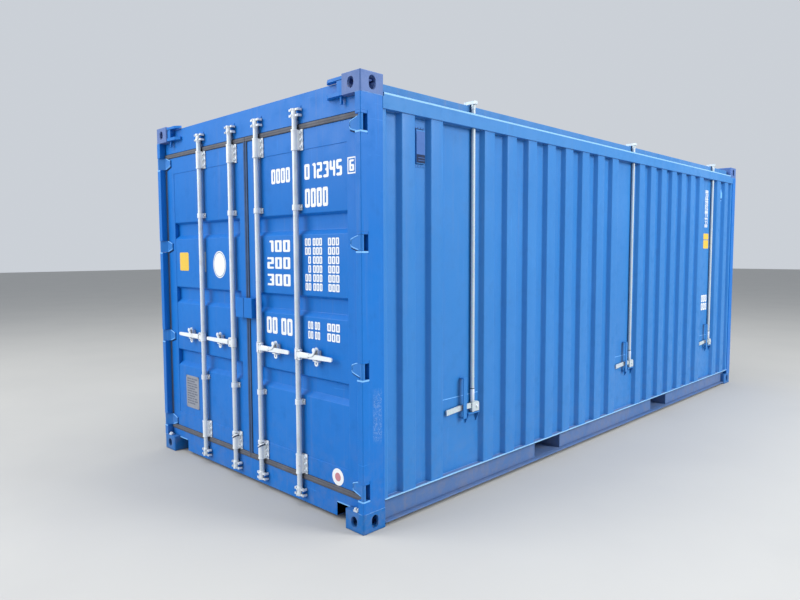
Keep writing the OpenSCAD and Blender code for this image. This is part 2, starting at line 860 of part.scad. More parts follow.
function thicken(points, t) = concat(points,
    [for (i = [len(points) - 1:-1:0]) [points[i][0], points[i][1] + t]]);

module side_wall() {
    line = wall_line(rising(side_crests()), rail_end_rear, rail_end_front, crest_e, recess_e);
    translate([hw, 0, rail_top]) mirror([1, 0, 0]) linear_extrude(top_rail_z0 - rail_top)
        polygon([for (p = thicken(line, wall_t)) [p[1], p[0]]]);
}

module side_wall_right() {
    color(blue) side_wall();
}

module side_wall_left() {
    color(blue) mirror([1, 0, 0]) side_wall();
}

module front_wall() {
    n = floor((2 * post_x - 2 * wall_margin) / wall_pitch);
    centres = [for (i = [0:n - 1]) (i - (n - 1) / 2) * wall_pitch];
    line = corrugation(centres, -post_x, post_x, beam_d, beam_d + wall_depth, crest_w, flank_w);
    color(blue) translate([0, hl, floor_z]) mirror([0, 1, 0])
        linear_extrude(front_beam_z - floor_z) polygon(thicken(line, wall_t));
}

// A vent: a plate on the wall with a hood that is open underneath
module vent(y) {
    z = top_rail_z0 - vent_drop - vent_h / 2;
    translate([hw - recess_e, y - vent_w / 2, z]) {
        translate([0, -vent_side, -vent_lip])
            cube([vent_sheet, vent_w + 2 * vent_side, vent_h + 2 * vent_lip]);
        difference() {
            cube([vent_t, vent_w, vent_h]);
            translate([vent_sheet, vent_sheet, -eps])
                cube([vent_t - 2 * vent_sheet, vent_w - 2 * vent_sheet, vent_h - vent_sheet + eps]);
        }
    }
}

// The vents sit in the flat between the first two crests
module vents() {
    color(blue) sides() vent(bays[0] - bay_pitch / 2 - wall_pitch / 2);
}

// The edge frame of the roof, with a seat under the arm of each roof rod
module roof_frame() {
    inner = roof_edge_w - 2 * roof_t;
    color(blue) {
        difference() {
            translate([-roof_x, -roof_y, top_rail_z1]) cube([2 * roof_x, 2 * roof_y, roof_h]);
            translate([-roof_x + roof_edge_w, -roof_y + roof_edge_w, top_rail_z1 - eps])
                cube([2 * (roof_x - roof_edge_w), 2 * (roof_y - roof_edge_w), roof_h + 2 * eps]);
            for (s = [-1, 1]) translate([s * (roof_x - roof_edge_w / 2) - inner / 2,
                -roof_y + roof_t, top_rail_z1 - eps])
                cube([inner, 2 * (roof_y - roof_t), roof_h - roof_t + eps]);
            for (s = [-1, 1]) translate([-roof_x + roof_t,
                s * (roof_y - roof_edge_w / 2) - inner / 2, top_rail_z1 - eps])
                cube([2 * (roof_x - roof_t), inner, roof_h - roof_t + eps]);
        }
        seat_in = arm_lip_t + arm_lip_gap;
        sides() for (y = lift_ys)
            translate([hw - lift_e - arm_l + seat_in, y - arm_w / 2, roof_top])
                cube([arm_l - seat_in - (roof_e - lift_e), arm_w, arm_up - arm_gap]);
    }
}

module roof_panel() {
    run = 2 * (roof_y - roof_edge_w);
    n = floor(run / roof_pitch);
    crest = roof_pitch / 2 - roof_depth;
    centres = [for (i = [0:n - 1]) (i - (n - 1) / 2) * roof_pitch];
    line = corrugation(centres, -run / 2, run / 2, 0, roof_depth, crest, roof_depth);
    color(blue) translate([-roof_x + roof_edge_w, 0, roof_top]) rotate([90, 0, 90])
        linear_extrude(2 * (roof_x - roof_edge_w))
            polygon([for (p = thicken(line, roof_t)) [p[0], -p[1]]]);
}

module roof_bows() {
    run = 2 * (roof_y - roof_edge_w);
    z1 = roof_top - roof_depth - roof_t;
    color(blue) for (i = [1:roof_bow_count])
        translate([-roof_x + roof_edge_w, -run / 2 + i * run / (roof_bow_count + 1) - roof_bow_w / 2,
            z1 - roof_bow_h])
            cube([2 * (roof_x - roof_edge_w), roof_bow_w, roof_bow_h]);
}

// A keeper: a plate on the beam behind it and two lugs that stand between the horns of a cam
module keeper(x, z) {
    translate([x, -hl + leaf_d, z]) {
        translate([-keeper_w / 2, -keeper_t, -keeper_h / 2]) cube([keeper_w, keeper_t, keeper_h]);
        for (s = [-1, 1]) translate([s * (keeper_in + keeper_lug_w / 2) - keeper_lug_w / 2,
            keeper_front - leaf_d, -keeper_lug_h / 2])
            cube([keeper_lug_w, leaf_d - keeper_front - keeper_t / 2, keeper_lug_h]);
    }
}

module header_keepers() {
    color(blue) for (x = rod_xs) keeper(x, keeper_zs[1]);
}

module sill_keepers() {
    color(blue) for (x = rod_xs) keeper(x, keeper_zs[0]);
}

// One door, drawn as the right-hand one
module door_frame() {
    w = leaf_x1 - leaf_x0;
    h = leaf_z1 - leaf_z0;
    difference() {
        translate([leaf_x0, leaf_y, leaf_z0]) cube([w, leaf_t, h]);
        translate([leaf_x0 + leaf_mid_w, leaf_y - eps, leaf_z0 + leaf_low_w])
            cube([w - leaf_mid_w - leaf_hinge_w, leaf_t + 2 * eps, h - leaf_low_w - leaf_top_w]);
    }
}

module door_panel() {
    z0 = leaf_z0 + leaf_low_w;
    z1 = leaf_z1 - leaf_top_w;
    low = sheet_set;
    deep = sheet_set + channel_depth;
    line = concat([[z0, low]],
        [for (u = channel_ups) let (t = leaf_z0 + u) each [[t - channel_h, low],
            [t - channel_h + channel_slope, deep], [t - channel_slope / 2, deep], [t, low]]],
        [[z1, low]]);
    x0 = leaf_x0 + leaf_mid_w;
    x1 = leaf_x1 - leaf_hinge_w;
    translate([x0, leaf_y, 0]) rotate([90, 0, 90]) linear_extrude(x1 - x0)
        polygon([for (p = thicken(line, sheet_t)) [p[1], p[0]]]);
}

// The seal round a door, cut back where the hinge blades cross it
module door_gasket() {
    x0 = seal_gap / 2;
    x1 = post_x - seal_gap;
    z0 = floor_z + seal_gap;
    z1 = header_z - seal_gap;
    difference() {
        translate([x0, -hl + seal_d, z0]) cube([x1 - x0, seal_t, z1 - z0]);
        translate([leaf_x0, -hl, leaf_z0])
            cube([leaf_x1 - leaf_x0, leaf_d + leaf_t, leaf_z1 - leaf_z0]);
        for (z = hinge_z) translate([hw - blade_e - eps, -hl, z - blade_h / 2 - eps])
            cube([blade_e, leaf_d + eps, blade_h + 2 * eps]);
    }
}

// The point where a line from p touches a circle of radius r about the origin
function touch(p, r, s) = let (a = atan2(p[1], p[0]) + s * acos(r / norm(p))) r * [cos(a), sin(a)];

// A blade in plan, with the pin at the origin, x away from the side face and y inward
module blade_plan() {
    bend = [leaf_x1_e() - pin_in + blade_bend, leaf_d - blade_t - blade_rise - pin_in];
    back = [leaf_x1_e() - pin_in - blade_back, leaf_d - pin_in];
    tip = blade_e - pin_in;
    polygon([touch(bend, knuckle_r, -1), bend, [tip, leaf_d - blade_t - pin_in],
        [tip, leaf_d - pin_in], back, touch(back, knuckle_r, 1)]);
    circle(r = knuckle_r);
}

function leaf_x1_e() = hw - leaf_x1;

module hinge_blade(z) {
    difference() {
        translate([pin_x, pin_y, z]) intersection() {
            mirror([1, 0, 0]) linear_extrude(blade_h, center = true) blade_plan();
            rotate([90, 0, 0]) linear_extrude(3 * leaf_d, center = true) polygon([
                [pin_in, -blade_h / 2], [pin_in, blade_h / 2],
                [-leaf_x1_e(), blade_h / 2], [pin_in - blade_e, blade_end_h / 2],
                [pin_in - blade_e, -blade_end_h / 2], [-leaf_x1_e(), -blade_h / 2]]);
        }
        translate([pin_x, pin_y, z]) cylinder(h = 2 * blade_h, r = pin_r + run_gap, center = true);
    }
}

// A bracket that holds a rod off the door, on a seat set back behind the frame's face
module rod_bracket(x, z, h, flange, set, ring) {
    reach = leaf_d + set - rod_d;
    translate([x, rod_y, z]) difference() {
        union() {
            cylinder(h = h, r = bracket_r, center = true);
            for (s = [-1, 1]) translate([0, 0, s * (h - ring_h) / 2])
                cylinder(h = ring_h, r = bracket_r + ring, center = true);
            translate([-bracket_r, 0, -h / 2]) cube([2 * bracket_r, reach, h]);
            translate([-bracket_r, reach - flange_t, -h / 2]) cube([bracket_r + flange, flange_t, h]);
        }
        cylinder(h = h + 2 * eps, r = rod_r + run_gap, center = true);
    }
}

module rod_brackets(xs) {
    for (x = xs) {
        for (z = [leaf_z0 + bracket_edge + bracket_h / 2, leaf_z1 - bracket_edge - bracket_h / 2])
            rod_bracket(x, z, bracket_h, flange_w, 0, ring_t);
        for (u = guide_ups) rod_bracket(x, leaf_z0 + u, guide_h, guide_w, sheet_set, 0);
    }
}

// A catch for a handle: a plate with round ends on a stem, with a shelf under the handle and
// an eye below it
module handle_catch(x, s) {
    r = catch_w / 2;
    plate_d = handle_d + handle_t + catch_gap;
    shelf_d = handle_d + catch_set;
    end = catch_h / 2 - r;
    translate([x + s * catch_x, -hl, handle_z]) {
        difference() {
            translate([0, plate_d + flange_t, 0]) rotate([90, 0, 0]) linear_extrude(flange_t) {
                for (z = [-end, end]) translate([0, z]) circle(r = r);
                translate([-r, -end]) square([catch_w, 2 * end]);
            }
            translate([0, plate_d - eps, -end]) rotate([-90, 0, 0])
                cylinder(h = flange_t + 2 * eps, r = catch_hole_r);
        }
        translate([-catch_stem_w / 2, plate_d + flange_t / 2, -catch_stem_h / 2])
            cube([catch_stem_w, leaf_d + sheet_set - plate_d - flange_t / 2, catch_stem_h]);
        translate([-r, shelf_d, -catch_under - flange_t])
            cube([catch_w, plate_d + flange_t / 2 - shelf_d, flange_t]);
    }
}

// One half of the box that covers the padlock, open underneath
module lock_box() {
    translate([seal_gap / 2, -hl + beam_d, box_z - box_h / 2]) difference() {
        cube([box_l, leaf_d - beam_d, box_h]);
        translate([-eps, box_t, -eps]) cube([box_l + eps - box_t, leaf_d, box_h - box_t + eps]);
        translate([-eps, seal_d - beam_d, -eps])
            cube([leaf_x0 - seal_gap / 2 + eps, leaf_d, box_h + 2 * eps]);
    }
}

module right_door_frame() {
    color(blue) door_frame();
}
module right_door_panel() {
    color(blue) door_panel();
}
module right_door_gasket() {
    color(seal_colour) door_gasket();
}
module right_door_hinges() {
    color(blue) for (z = hinge_z) hinge_blade(z);
}
module right_rod_brackets() {
    color(zinc) rod_brackets([rod_x_in, rod_x_out]);
}
module right_handle_catches() {
    color(zinc) for (x = [rod_x_in, rod_x_out]) handle_catch(x, 1);
}
module right_lock_box() {
    color(blue) lock_box();
}
module left_door_frame() {
    color(blue) mirror([1, 0, 0]) door_frame();
}
module left_door_panel() {
    color(blue) mirror([1, 0, 0]) door_panel();
}
module left_door_gasket() {
    color(seal_colour) mirror([1, 0, 0]) door_gasket();
}
module left_door_hinges() {
    color(blue) mirror([1, 0, 0]) for (z = hinge_z) hinge_blade(z);
}
module left_rod_brackets() {
    color(zinc) rod_brackets([-rod_x_in, -rod_x_out]);
}
module left_handle_catches() {
    color(zinc) for (x = [-rod_x_in, -rod_x_out]) handle_catch(x, -1);
}
module left_lock_box() {
    color(blue) mirror([1, 0, 0]) lock_box();
}

// A cam: two horns on a sleeve, each with a long tip beside the rod and a nose to the front
module cam(s) {
    translate([0, 0, -cam_h / 2]) cylinder(h = cam_h, r = rod_r + sleeve_t);
    translate([0, 0, cam_h / 2]) cylinder(h = flare_h, r1 = cam_r, r2 = rod_r);
    for (z = [-1, 1]) translate([0, 0, z * (cam_h - horn_t) / 2 - horn_t / 2])
        linear_extrude(horn_t) mirror([s > 0 ? 0 : 1, 0, 0]) {
            circle(r = cam_r);
            translate([0, -horn_w / 2]) square([horn_l - horn_w / 2, horn_w]);
            translate([horn_l - horn_w / 2, 0]) circle(r = horn_w / 2);
            rotate(-nose_turn) translate([0, -nose_w / 2]) square([nose_l, nose_w]);
        }
}

module lock_rod(x) {
    z0 = rod_z0 + cam_h + flare_h;
    z1 = rod_z1 - cam_h - flare_h;
    color(zinc) translate([x, rod_y, z0]) cylinder(h = z1 - z0, r = rod_r);
}

// The castings of one rod: a cam at each end and the handle
module lock_gear(x) {
    color(zinc) {
        translate([x, rod_y, keeper_zs[0]]) cam(sign(x));
        translate([x, rod_y, keeper_zs[1]]) mirror([0, 0, 1]) cam(sign(x));
        lock_handle(x);
    }
}

// A handle: a clamp on the rod and a tapering bar with a round end
module lock_handle(x) {
    tip = handle_tip_r;
    root = handle_root / 2;
    translate([x, -hl, handle_z]) mirror([x > 0 ? 0 : 1, 0, 0]) difference() {
        union() {
            translate([0, rod_d, 0]) cylinder(h = hub_h, r = rod_r + hub_wall, center = true);
            translate([0, handle_d, -hub_h / 2]) cube([clamp_l, clamp_t, hub_h]);
            translate([0, handle_d + handle_t, 0]) rotate([90, 0, 0]) linear_extrude(handle_t) {
                polygon([[0, -root], [clamp_l + root, -root], [handle_l - tip, -tip],
                    [handle_l - tip, tip], [clamp_l + root, root], [0, root]]);
                translate([handle_l - tip, 0]) circle(r = tip);
            }
        }
        translate([0, rod_d, 0]) cylinder(h = 2 * hub_h, r = rod_r + run_gap, center = true);
    }
}

module lock_rod_1() { lock_rod(rod_xs[0]); }
module lock_rod_2() { lock_rod(rod_xs[1]); }
module lock_rod_3() { lock_rod(rod_xs[2]); }
module lock_rod_4() { lock_rod(rod_xs[3]); }
module lock_gear_1() { lock_gear(rod_xs[0]); }
module lock_gear_2() { lock_gear(rod_xs[1]); }
module lock_gear_3() { lock_gear(rod_xs[2]); }
module lock_gear_4() { lock_gear(rod_xs[3]); }

// A rod that grips the roof with an arm at its head and has a handle near its foot
module roof_rod(y) {
    hub_z = lift_z + lift_foot;
    half = lift_handle_h / 2;
    mid = lift_handle_l / 2;
    in_z = lift_handle_up;
    out_z = lift_handle_up - lift_handle_drop;
    color(zinc) translate([hw - lift_e, y, 0]) {
        translate([0, 0, lift_z]) cylinder(h = arm_z1 - lift_z, r = lift_r);
        for (u = collar_ups) translate([0, 0, lift_z + u]) cylinder(h = collar_h, r = collar_r);
        translate([0, 0, arm_z0 - boss_h]) cylinder(h = boss_h + arm_t / 2, r = boss_r);
        translate([-arm_l, -arm_w / 2, arm_z0]) cube([arm_l + lift_e - arm_e, arm_w, arm_t]);
        translate([-arm_l, -arm_w / 2, arm_z0 - arm_lip]) cube([arm_lip_t, arm_w, arm_lip + arm_t / 2]);
        translate([lift_hub_t / 2, 0, hub_z]) rotate([0, -90, 0]) linear_extrude(lift_hub_t) {
            translate([0, -lift_r]) square([lift_hub_h, lift_r + lift_hub_l - hub_end_r]);
            translate([0, 0]) square([lift_hub_h - hub_end_r, lift_hub_l]);
            translate([lift_hub_h - hub_end_r, lift_hub_l - hub_end_r]) circle(r = hub_end_r);
        }
        translate([lift_handle_t / 2, 0, lift_z]) rotate([0, -90, 0]) linear_extrude(lift_handle_t)
            polygon([[in_z - half, 0], [in_z - half, -mid], [out_z - half, -lift_handle_l],
                [out_z + half, -lift_handle_l], [in_z + half, -mid], [in_z + half, 0]]);
    }
}

module roof_rod_right_rear() { roof_rod(lift_ys[0]); }
module roof_rod_right_middle() { roof_rod(lift_ys[1]); }
module roof_rod_right_front() { roof_rod(lift_ys[2]); }
module roof_rod_left_rear() { mirror([1, 0, 0]) roof_rod(lift_ys[0]); }
module roof_rod_left_middle() { mirror([1, 0, 0]) roof_rod(lift_ys[1]); }
module roof_rod_left_front() { mirror([1, 0, 0]) roof_rod(lift_ys[2]); }

// The plate, shelf and gussets under a roof rod, and the strap that its handle slides behind
module roof_rod_guide(y) {
    flat = bay_pitch - crest_w - 2 * flank_w - 2 * back_edge;
    back_e = recess_e - back_t;
    shelf_z = lift_z - shelf_t;
    foot_z = lift_z - back_down;
    translate([hw - recess_e, y - lift_off - flat / 2, foot_z])
        cube([back_t, flat, back_down + back_up]);
    translate([hw - back_e - eps / 2, y - shelf_l, shelf_z])
        cube([back_e - shelf_e + eps / 2, 2 * shelf_l, shelf_t]);
    for (s = [-1, 1]) translate([hw - back_e - eps / 2, y + s * (shelf_l - gusset_t / 2) + gusset_t / 2, 0])
        rotate([90, 0, 0]) linear_extrude(gusset_t) polygon([[0, foot_z], [gusset_t, foot_z],
            [back_e - shelf_e, shelf_z], [back_e - shelf_e, shelf_z + eps], [0, shelf_z + eps]]);
    translate([hw - back_e - eps / 2, y - strap_off - strap_w / 2, lift_z - strap_down]) difference() {
        cube([back_e - strap_e + eps / 2, strap_w, strap_up + strap_down]);
        translate([eps / 2, -eps, strap_t]) cube([back_e - strap_e - strap_t, strap_w + 2 * eps,
            strap_up + strap_down - 2 * strap_t]);
    }
}

module roof_rod_guides() {
    color(blue) sides() for (y = lift_ys) roof_rod_guide(y);
}

bottom_fittings_rear();
bottom_fittings_front();
top_fittings_rear();
top_fittings_front();
rear_posts();
front_posts();
door_sill();
door_header();
header_lugs();
front_sill();
front_top_rail();
bottom_rail_flanges();
bottom_rail_webs();
top_side_rails();
cross_members();
fork_pocket_walls();
fork_pocket_plates();
floor_boards();
side_wall_left();
side_wall_right();
front_wall();
vents();
roof_frame();
roof_panel();
roof_bows();
roof_rod_guides();
header_keepers();
sill_keepers();
hinge_lugs();
left_door_frame();
left_door_panel();
left_door_gasket();
left_door_hinges();
left_rod_brackets();
left_handle_catches();
left_lock_box();
right_door_frame();
right_door_panel();
right_door_gasket();
right_door_hinges();
right_rod_brackets();
right_handle_catches();
right_lock_box();
lock_rod_1();
lock_rod_2();
lock_rod_3();
lock_rod_4();
lock_gear_1();
lock_gear_2();
lock_gear_3();
lock_gear_4();
roof_rod_left_rear();
roof_rod_left_middle();
roof_rod_left_front();
roof_rod_right_rear();
roof_rod_right_middle();
roof_rod_right_front();
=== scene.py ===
"""Looks for a twenty-foot hard-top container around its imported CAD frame.

Metres, +Z up, +Y away from the doors, +X to the right of someone who faces the doors.
Two distances recur: e is measured inward from a side face and d inward from an end face.
The sign s is -1 on the left side and 1 on the right side.
"""

import json
import math

import bpy
import bmesh
from mathutils import Matrix, Vector, noise


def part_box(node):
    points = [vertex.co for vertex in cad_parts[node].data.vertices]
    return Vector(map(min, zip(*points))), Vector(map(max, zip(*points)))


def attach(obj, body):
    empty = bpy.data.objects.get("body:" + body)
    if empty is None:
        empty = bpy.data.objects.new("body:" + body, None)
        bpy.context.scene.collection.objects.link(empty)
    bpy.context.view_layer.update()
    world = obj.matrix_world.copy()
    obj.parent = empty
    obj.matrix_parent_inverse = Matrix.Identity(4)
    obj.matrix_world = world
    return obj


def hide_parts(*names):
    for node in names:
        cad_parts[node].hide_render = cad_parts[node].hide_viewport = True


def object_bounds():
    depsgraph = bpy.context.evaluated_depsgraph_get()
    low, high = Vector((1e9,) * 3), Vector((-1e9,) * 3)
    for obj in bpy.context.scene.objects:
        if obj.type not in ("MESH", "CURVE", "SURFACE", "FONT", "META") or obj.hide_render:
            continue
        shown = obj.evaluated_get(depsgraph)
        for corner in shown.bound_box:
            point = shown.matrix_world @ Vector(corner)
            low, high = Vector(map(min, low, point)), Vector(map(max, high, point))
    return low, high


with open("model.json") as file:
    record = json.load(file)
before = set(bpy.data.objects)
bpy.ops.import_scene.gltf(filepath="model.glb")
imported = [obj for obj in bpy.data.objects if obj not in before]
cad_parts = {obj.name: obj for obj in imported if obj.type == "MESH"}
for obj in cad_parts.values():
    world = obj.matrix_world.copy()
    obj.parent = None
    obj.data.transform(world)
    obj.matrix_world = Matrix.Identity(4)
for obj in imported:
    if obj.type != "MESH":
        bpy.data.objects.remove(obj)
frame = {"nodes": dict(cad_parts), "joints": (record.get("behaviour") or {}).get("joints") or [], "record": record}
cad_bounds = [list(corner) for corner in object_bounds()]

NODES = frame["nodes"]
NODE_SLOT = {row["node"]: row["material_slot"] for row in frame["record"]["subparts"]}
JOINT_AT = {joint["name"]: joint.get("pos_m") for joint in frame["joints"]}
HALF_W, HALF_L, _ = Vector(cad_bounds[1])
SIDES = {"left": -1, "right": 1}
X, Y, Z = Vector((1, 0, 0)), Vector((0, 1, 0)), Vector((0, 0, 1))

# Real sizes that the solids carry too
FLANGE_T = 0.006        # flanges of the rod brackets
BRACKET_R = 0.022       # radius of the rod brackets
LARGE_R = 0.0234        # radius of the large brackets' rims
LARGE_BRACKET_H = 0.08  # a taller bracket is one of the large ones
SHEET_T = 0.002         # wall sheets
PANEL_T = 0.003         # door and roof sheets
BEND_R = 0.009          # inside the folds of the sheets
HANDLE_D = 0.008        # distance of the handles behind the end face
CATCH_D = 0.023         # distance of the catches' plates behind the end face
BLADE_D = 0.042         # distance of the hinge blades' fronts behind the end face
FACE_D = 0.05          # distance of the doors' frames behind the end face
LIFT_E = 0.027          # distance of the roof rods' axes inside the side face
LIFT_HUB_L = 0.06      # reach of the roof rods' hubs past their axes
LAST_FLAT_Y = (2.0, 2.5)    # the last flat of each side wall
FAR_VENT_Y = (2.45, 2.78)   # the recess that holds the far vent


# Materials

class Surface:
    """A node material: the methods return sockets, and the shader's own sockets take plain values."""

    def __init__(self, name, color, rough, metallic=0.0, specular=0.5):
        self.material = bpy.data.materials.new(name)
        self.material.use_nodes = True
        self.material.diffuse_color = (*color, 1)
        self.tree = self.material.node_tree
        self.shader = self.tree.nodes["Principled BSDF"]
        self.set(self.shader, {"Metallic": metallic, "Roughness": rough, "Specular IOR Level": specular})
        base = self.node("ShaderNodeRGB")
        base.outputs[0].default_value = (*color, 1)
        self.color = base.outputs[0]
        self.place = self.node("ShaderNodeTexCoord").outputs["Object"]
        self.height = None

    def set(self, n, sockets):
        """Gives input sockets of a node a link or a plain value."""
        for socket, value in sockets.items():
            target = n.inputs[socket]
            if isinstance(value, bpy.types.NodeSocket):
                self.tree.links.new(value, target)
            else:
                target.default_value = (*value, 1) if target.type == "RGBA" else value

    def node(self, kind, sockets=None, **settings):
        n = self.tree.nodes.new(kind)
        for key, value in settings.items():
            setattr(n, key, value)
        self.set(n, sockets or {})
        return n

    def noise(self, scale, detail=3, stretch=(1, 1, 1), rough=0.55, twist=0.0):
        place = self.node("ShaderNodeMapping", {"Vector": self.place, "Scale": stretch})
        n = self.node("ShaderNodeTexNoise", {"Vector": place.outputs[0], "Scale": scale, "Detail": detail,
                                             "Roughness": rough, "Distortion": twist})
        return n.outputs["Fac"]

    def band(self, value, low, high, to_low=0.0, to_high=1.0):
        """A smooth step from to_low, where value is low, to to_high."""
        n = self.node("ShaderNodeMapRange", {"Value": value, "From Min": low, "From Max": high,
                                             "To Min": to_low, "To Max": to_high},
                      interpolation_type="SMOOTHSTEP")
        return n.outputs["Result"]

    def math(self, operation, a, b=0.0):
        return self.node("ShaderNodeMath", {0: a, 1: b}, operation=operation).outputs[0]

    def times(self, a, b):
        return self.math("MULTIPLY", a, b)

    def tint(self, factor, color, blend="MIX"):
        """Lays a colour over what is there, as strongly as factor says."""
        mixed = self.node("ShaderNodeMix", {"Factor": factor, 6: self.color, 7: color},
                          data_type="RGBA", blend_type=blend)
        self.color = mixed.outputs[2]

    def patches(self, color, strength, span, scale, detail=3, **look):
        """Tints the places where a noise climbs through span."""
        self.tint(self.band(self.noise(scale, detail, **look), *span, 0, strength), color)

    def axes(self):
        """The X, Y and Z of the place on the object."""
        return self.node("ShaderNodeSeparateXYZ", {0: self.place}).outputs

    def edges(self, radius):
        """1 on sharp edges and 0 on flat faces."""
        bevel = self.node("ShaderNodeBevel", {"Radius": radius}, samples=6)
        geometry = self.node("ShaderNodeNewGeometry")
        dot = self.node("ShaderNodeVectorMath", {0: bevel.outputs[0], 1: geometry.outputs["Normal"]},
                        operation="DOT_PRODUCT")
        return self.band(dot.outputs["Value"], 0.995, 0.93)

    def corner_shade_mask(self, distance):
        """1 in corners and 0 in the open, from ambient occlusion; it masks painted shade."""
        n = self.node("ShaderNodeAmbientOcclusion", {"Distance": distance}, samples=6)
        return self.band(n.outputs["AO"], 0.72, 0.25)

    def near(self, middle, reach):
        """1 around middle, and 0 further off than reach along any axis."""
        axes = self.axes()
        inside = None
        for axis, m, r in zip("XYZ", middle, reach):
            off = self.math("ABSOLUTE", self.math("SUBTRACT", axes[axis], m))
            part = self.band(off, r, r * 0.7)
            inside = part if inside is None else self.times(inside, part)
        return inside

    def raise_by(self, value, amount):
        """Adds to the surface's relief, in metres."""
        part = self.times(value, amount)
        self.height = part if self.height is None else self.math("ADD", self.height, part)

    def done(self, roughness=None):
        self.set(self.shader, {"Base Color": self.color})
        if roughness is not None:
            self.set(self.shader, {"Roughness": roughness})
        if self.height is not None:
            bump = self.node("ShaderNodeBump", {"Strength": 1.0, "Distance": 1.0, "Height": self.height})
            self.set(self.shader, {"Normal": bump.outputs[0]})
        return self.material

    def done_between(self, low, high, scale, detail=3):
        """Finishes with a roughness that wanders between two values."""
        return self.done(self.band(self.noise(scale, detail), 0.3, 0.7, low, high))


def shade(color, factor, add=0.0):
    """A darker or paler version of a colour."""
    return tuple(min(1, c * factor + add) for c in color)


# Colours of what lies on a surface or under it, and the painted shade in galvanised crevices
DUST = (0.3, 0.25, 0.19)
RUST = (0.16, 0.045, 0.014)
PRIMER = (0.2, 0.17, 0.15)
DULL_PRIMER = (0.05, 0.08, 0.15)
SCRATCH = (0.34, 0.45, 0.6)
DULL_ZINC, PALE_ZINC, ZINC_CREVICE_SHADE = (0.44, 0.47, 0.5), (0.86, 0.87, 0.87), (0.045, 0.055, 0.08)
ZINC_STAIN = (0.3, 0.17, 0.1)
WOOD, GRAIN, PALE_GRAIN = (0.4, 0.24, 0.12), (0.22, 0.12, 0.06), (0.52, 0.36, 0.21)
WOOD_DIRT, WOOD_SCRAPE = (0.12, 0.09, 0.07), (0.07, 0.05, 0.04)

# Stretches of a noise: it is drawn out along the axis with the small number
STREAKS, PALE_RUNS, RUBS, SCRATCHES = (26, 26, 0.9), (44, 44, 1.6), (5, 5, 120), (520, 520, 130)
ZINC_RUNS, FILM_RUNS = (60, 60, 2.5), (40, 40, 2)
GRAIN_LINES, GRAIN_BANDS, SCRAPES = (90, 3.0, 90), (14, 0.8, 14), (3, 60, 3)


def weather(s, color, fade, dirt_and_shade):
    """Rain streaks, pale runs, dust low down and painted shade in corners; returns the dust's pattern."""
    s.patches(DUST, 0.35 * dirt_and_shade, (0.52, 0.78), scale=1, detail=6, stretch=STREAKS, rough=0.65)
    s.patches(shade(fade, 1.5, 0.03), 0.22, (0.58, 0.8), scale=1, detail=5, stretch=PALE_RUNS, rough=0.7)
    low_down = s.band(s.axes()["Z"], 0.75, 0.05)
    splash = s.times(low_down, s.band(s.noise(14, 6, rough=0.7), 0.38, 0.72))
    s.tint(s.times(splash, 0.5 * dirt_and_shade), DUST)
    # Painted shade: the paint darkened in its corners by an ambient occlusion mask
    s.tint(s.times(s.corner_shade_mask(0.05), 0.3 + 0.3 * dirt_and_shade), shade(color, 0.25, 0.002))
    return splash


def damage(s, fade, wear, bare, scuffs):
    """Rubbed lines, chipped edges, rust spots and scuffed places; returns the chips' pattern."""
    s.patches(shade(fade, 1.8, 0.08), 0.3 * wear, (0.7, 0.74), scale=1, detail=4, stretch=RUBS, rough=0.5,
              twist=0.4)
    chips = s.times(s.edges(0.004), s.band(s.noise(38, 5, rough=0.75), 0.52, 0.6))
    s.tint(s.times(chips, wear), bare)
    spots = s.band(s.noise(21, 6, rough=0.8), 0.73, 0.76)
    grouped = s.times(spots, s.band(s.noise(2.1, 2), 0.48, 0.62))
    s.tint(s.times(grouped, wear), RUST)
    for middle, reach in scuffs:
        lines = s.band(s.noise(1, 5, stretch=SCRATCHES, rough=0.7), 0.47, 0.6)
        ragged = s.band(s.noise(60, 5, rough=0.7), 0.4, 0.6, 0.1, 1)
        rubbed = s.times(s.times(s.near(middle, reach), lines), ragged)
        s.tint(s.times(rubbed, 0.6), SCRATCH)
    return chips


def paint(name, color, fade, dirt_and_shade=0.5, wear=0.5, rough=0.42, specular=0.22, scuffs=(), bare=DULL_PRIMER):
    """Sprayed steel paint: faded in clouds, streaked by rain, dusty low down, darkened in its corners as painted
    shade and chipped at its edges.
    """
    s = Surface(name, color, rough, specular=specular)
    s.patches(fade, 0.4, (0.35, 0.75), scale=1.3, detail=4)
    blotches = s.noise(9, 5, rough=0.6)
    s.tint(s.band(blotches, 0.5, 0.8, 0, 0.3), shade(color, 0.72))
    splash = weather(s, color, fade, dirt_and_shade)
    chips = damage(s, fade, wear, bare, scuffs)
    s.raise_by(s.noise(420, 2), 0.00006)
    s.raise_by(s.noise(7, 3), 0.0003)
    s.raise_by(chips, -0.00025)
    worn = s.band(blotches, 0.3, 0.8, rough - 0.08, rough + 0.14)
    return s.done(s.math("ADD", worn, s.times(splash, 0.18)))


def galvanised(name, color, metallic, reach):
    """Hot-dip galvanising: faint crystals, dull patches, pale runs and painted shade in its crevices within reach.
    """
    s = Surface(name, color, 0.38, metallic=metallic)
    crystals = s.node("ShaderNodeTexVoronoi", {"Vector": s.place, "Scale": 160})
    s.tint(0.12, crystals.outputs["Color"], "OVERLAY")
    s.patches(DULL_ZINC, 0.35, (0.45, 0.75), scale=11, detail=5)
    s.patches(PALE_ZINC, 0.3, (0.58, 0.78), scale=1, detail=5, stretch=ZINC_RUNS)
    # Painted shade: the zinc darkened in its crevices
    s.tint(s.times(s.corner_shade_mask(reach), 0.9), ZINC_CREVICE_SHADE)
    stains = s.times(s.band(s.noise(30, 6, rough=0.75), 0.6, 0.7), s.band(s.noise(2.6, 2), 0.5, 0.6))
    s.tint(s.times(stains, 0.4), ZINC_STAIN)
    s.raise_by(s.noise(260, 3), 0.00012)
    return s.done_between(0.34, 0.56, scale=24, detail=4)


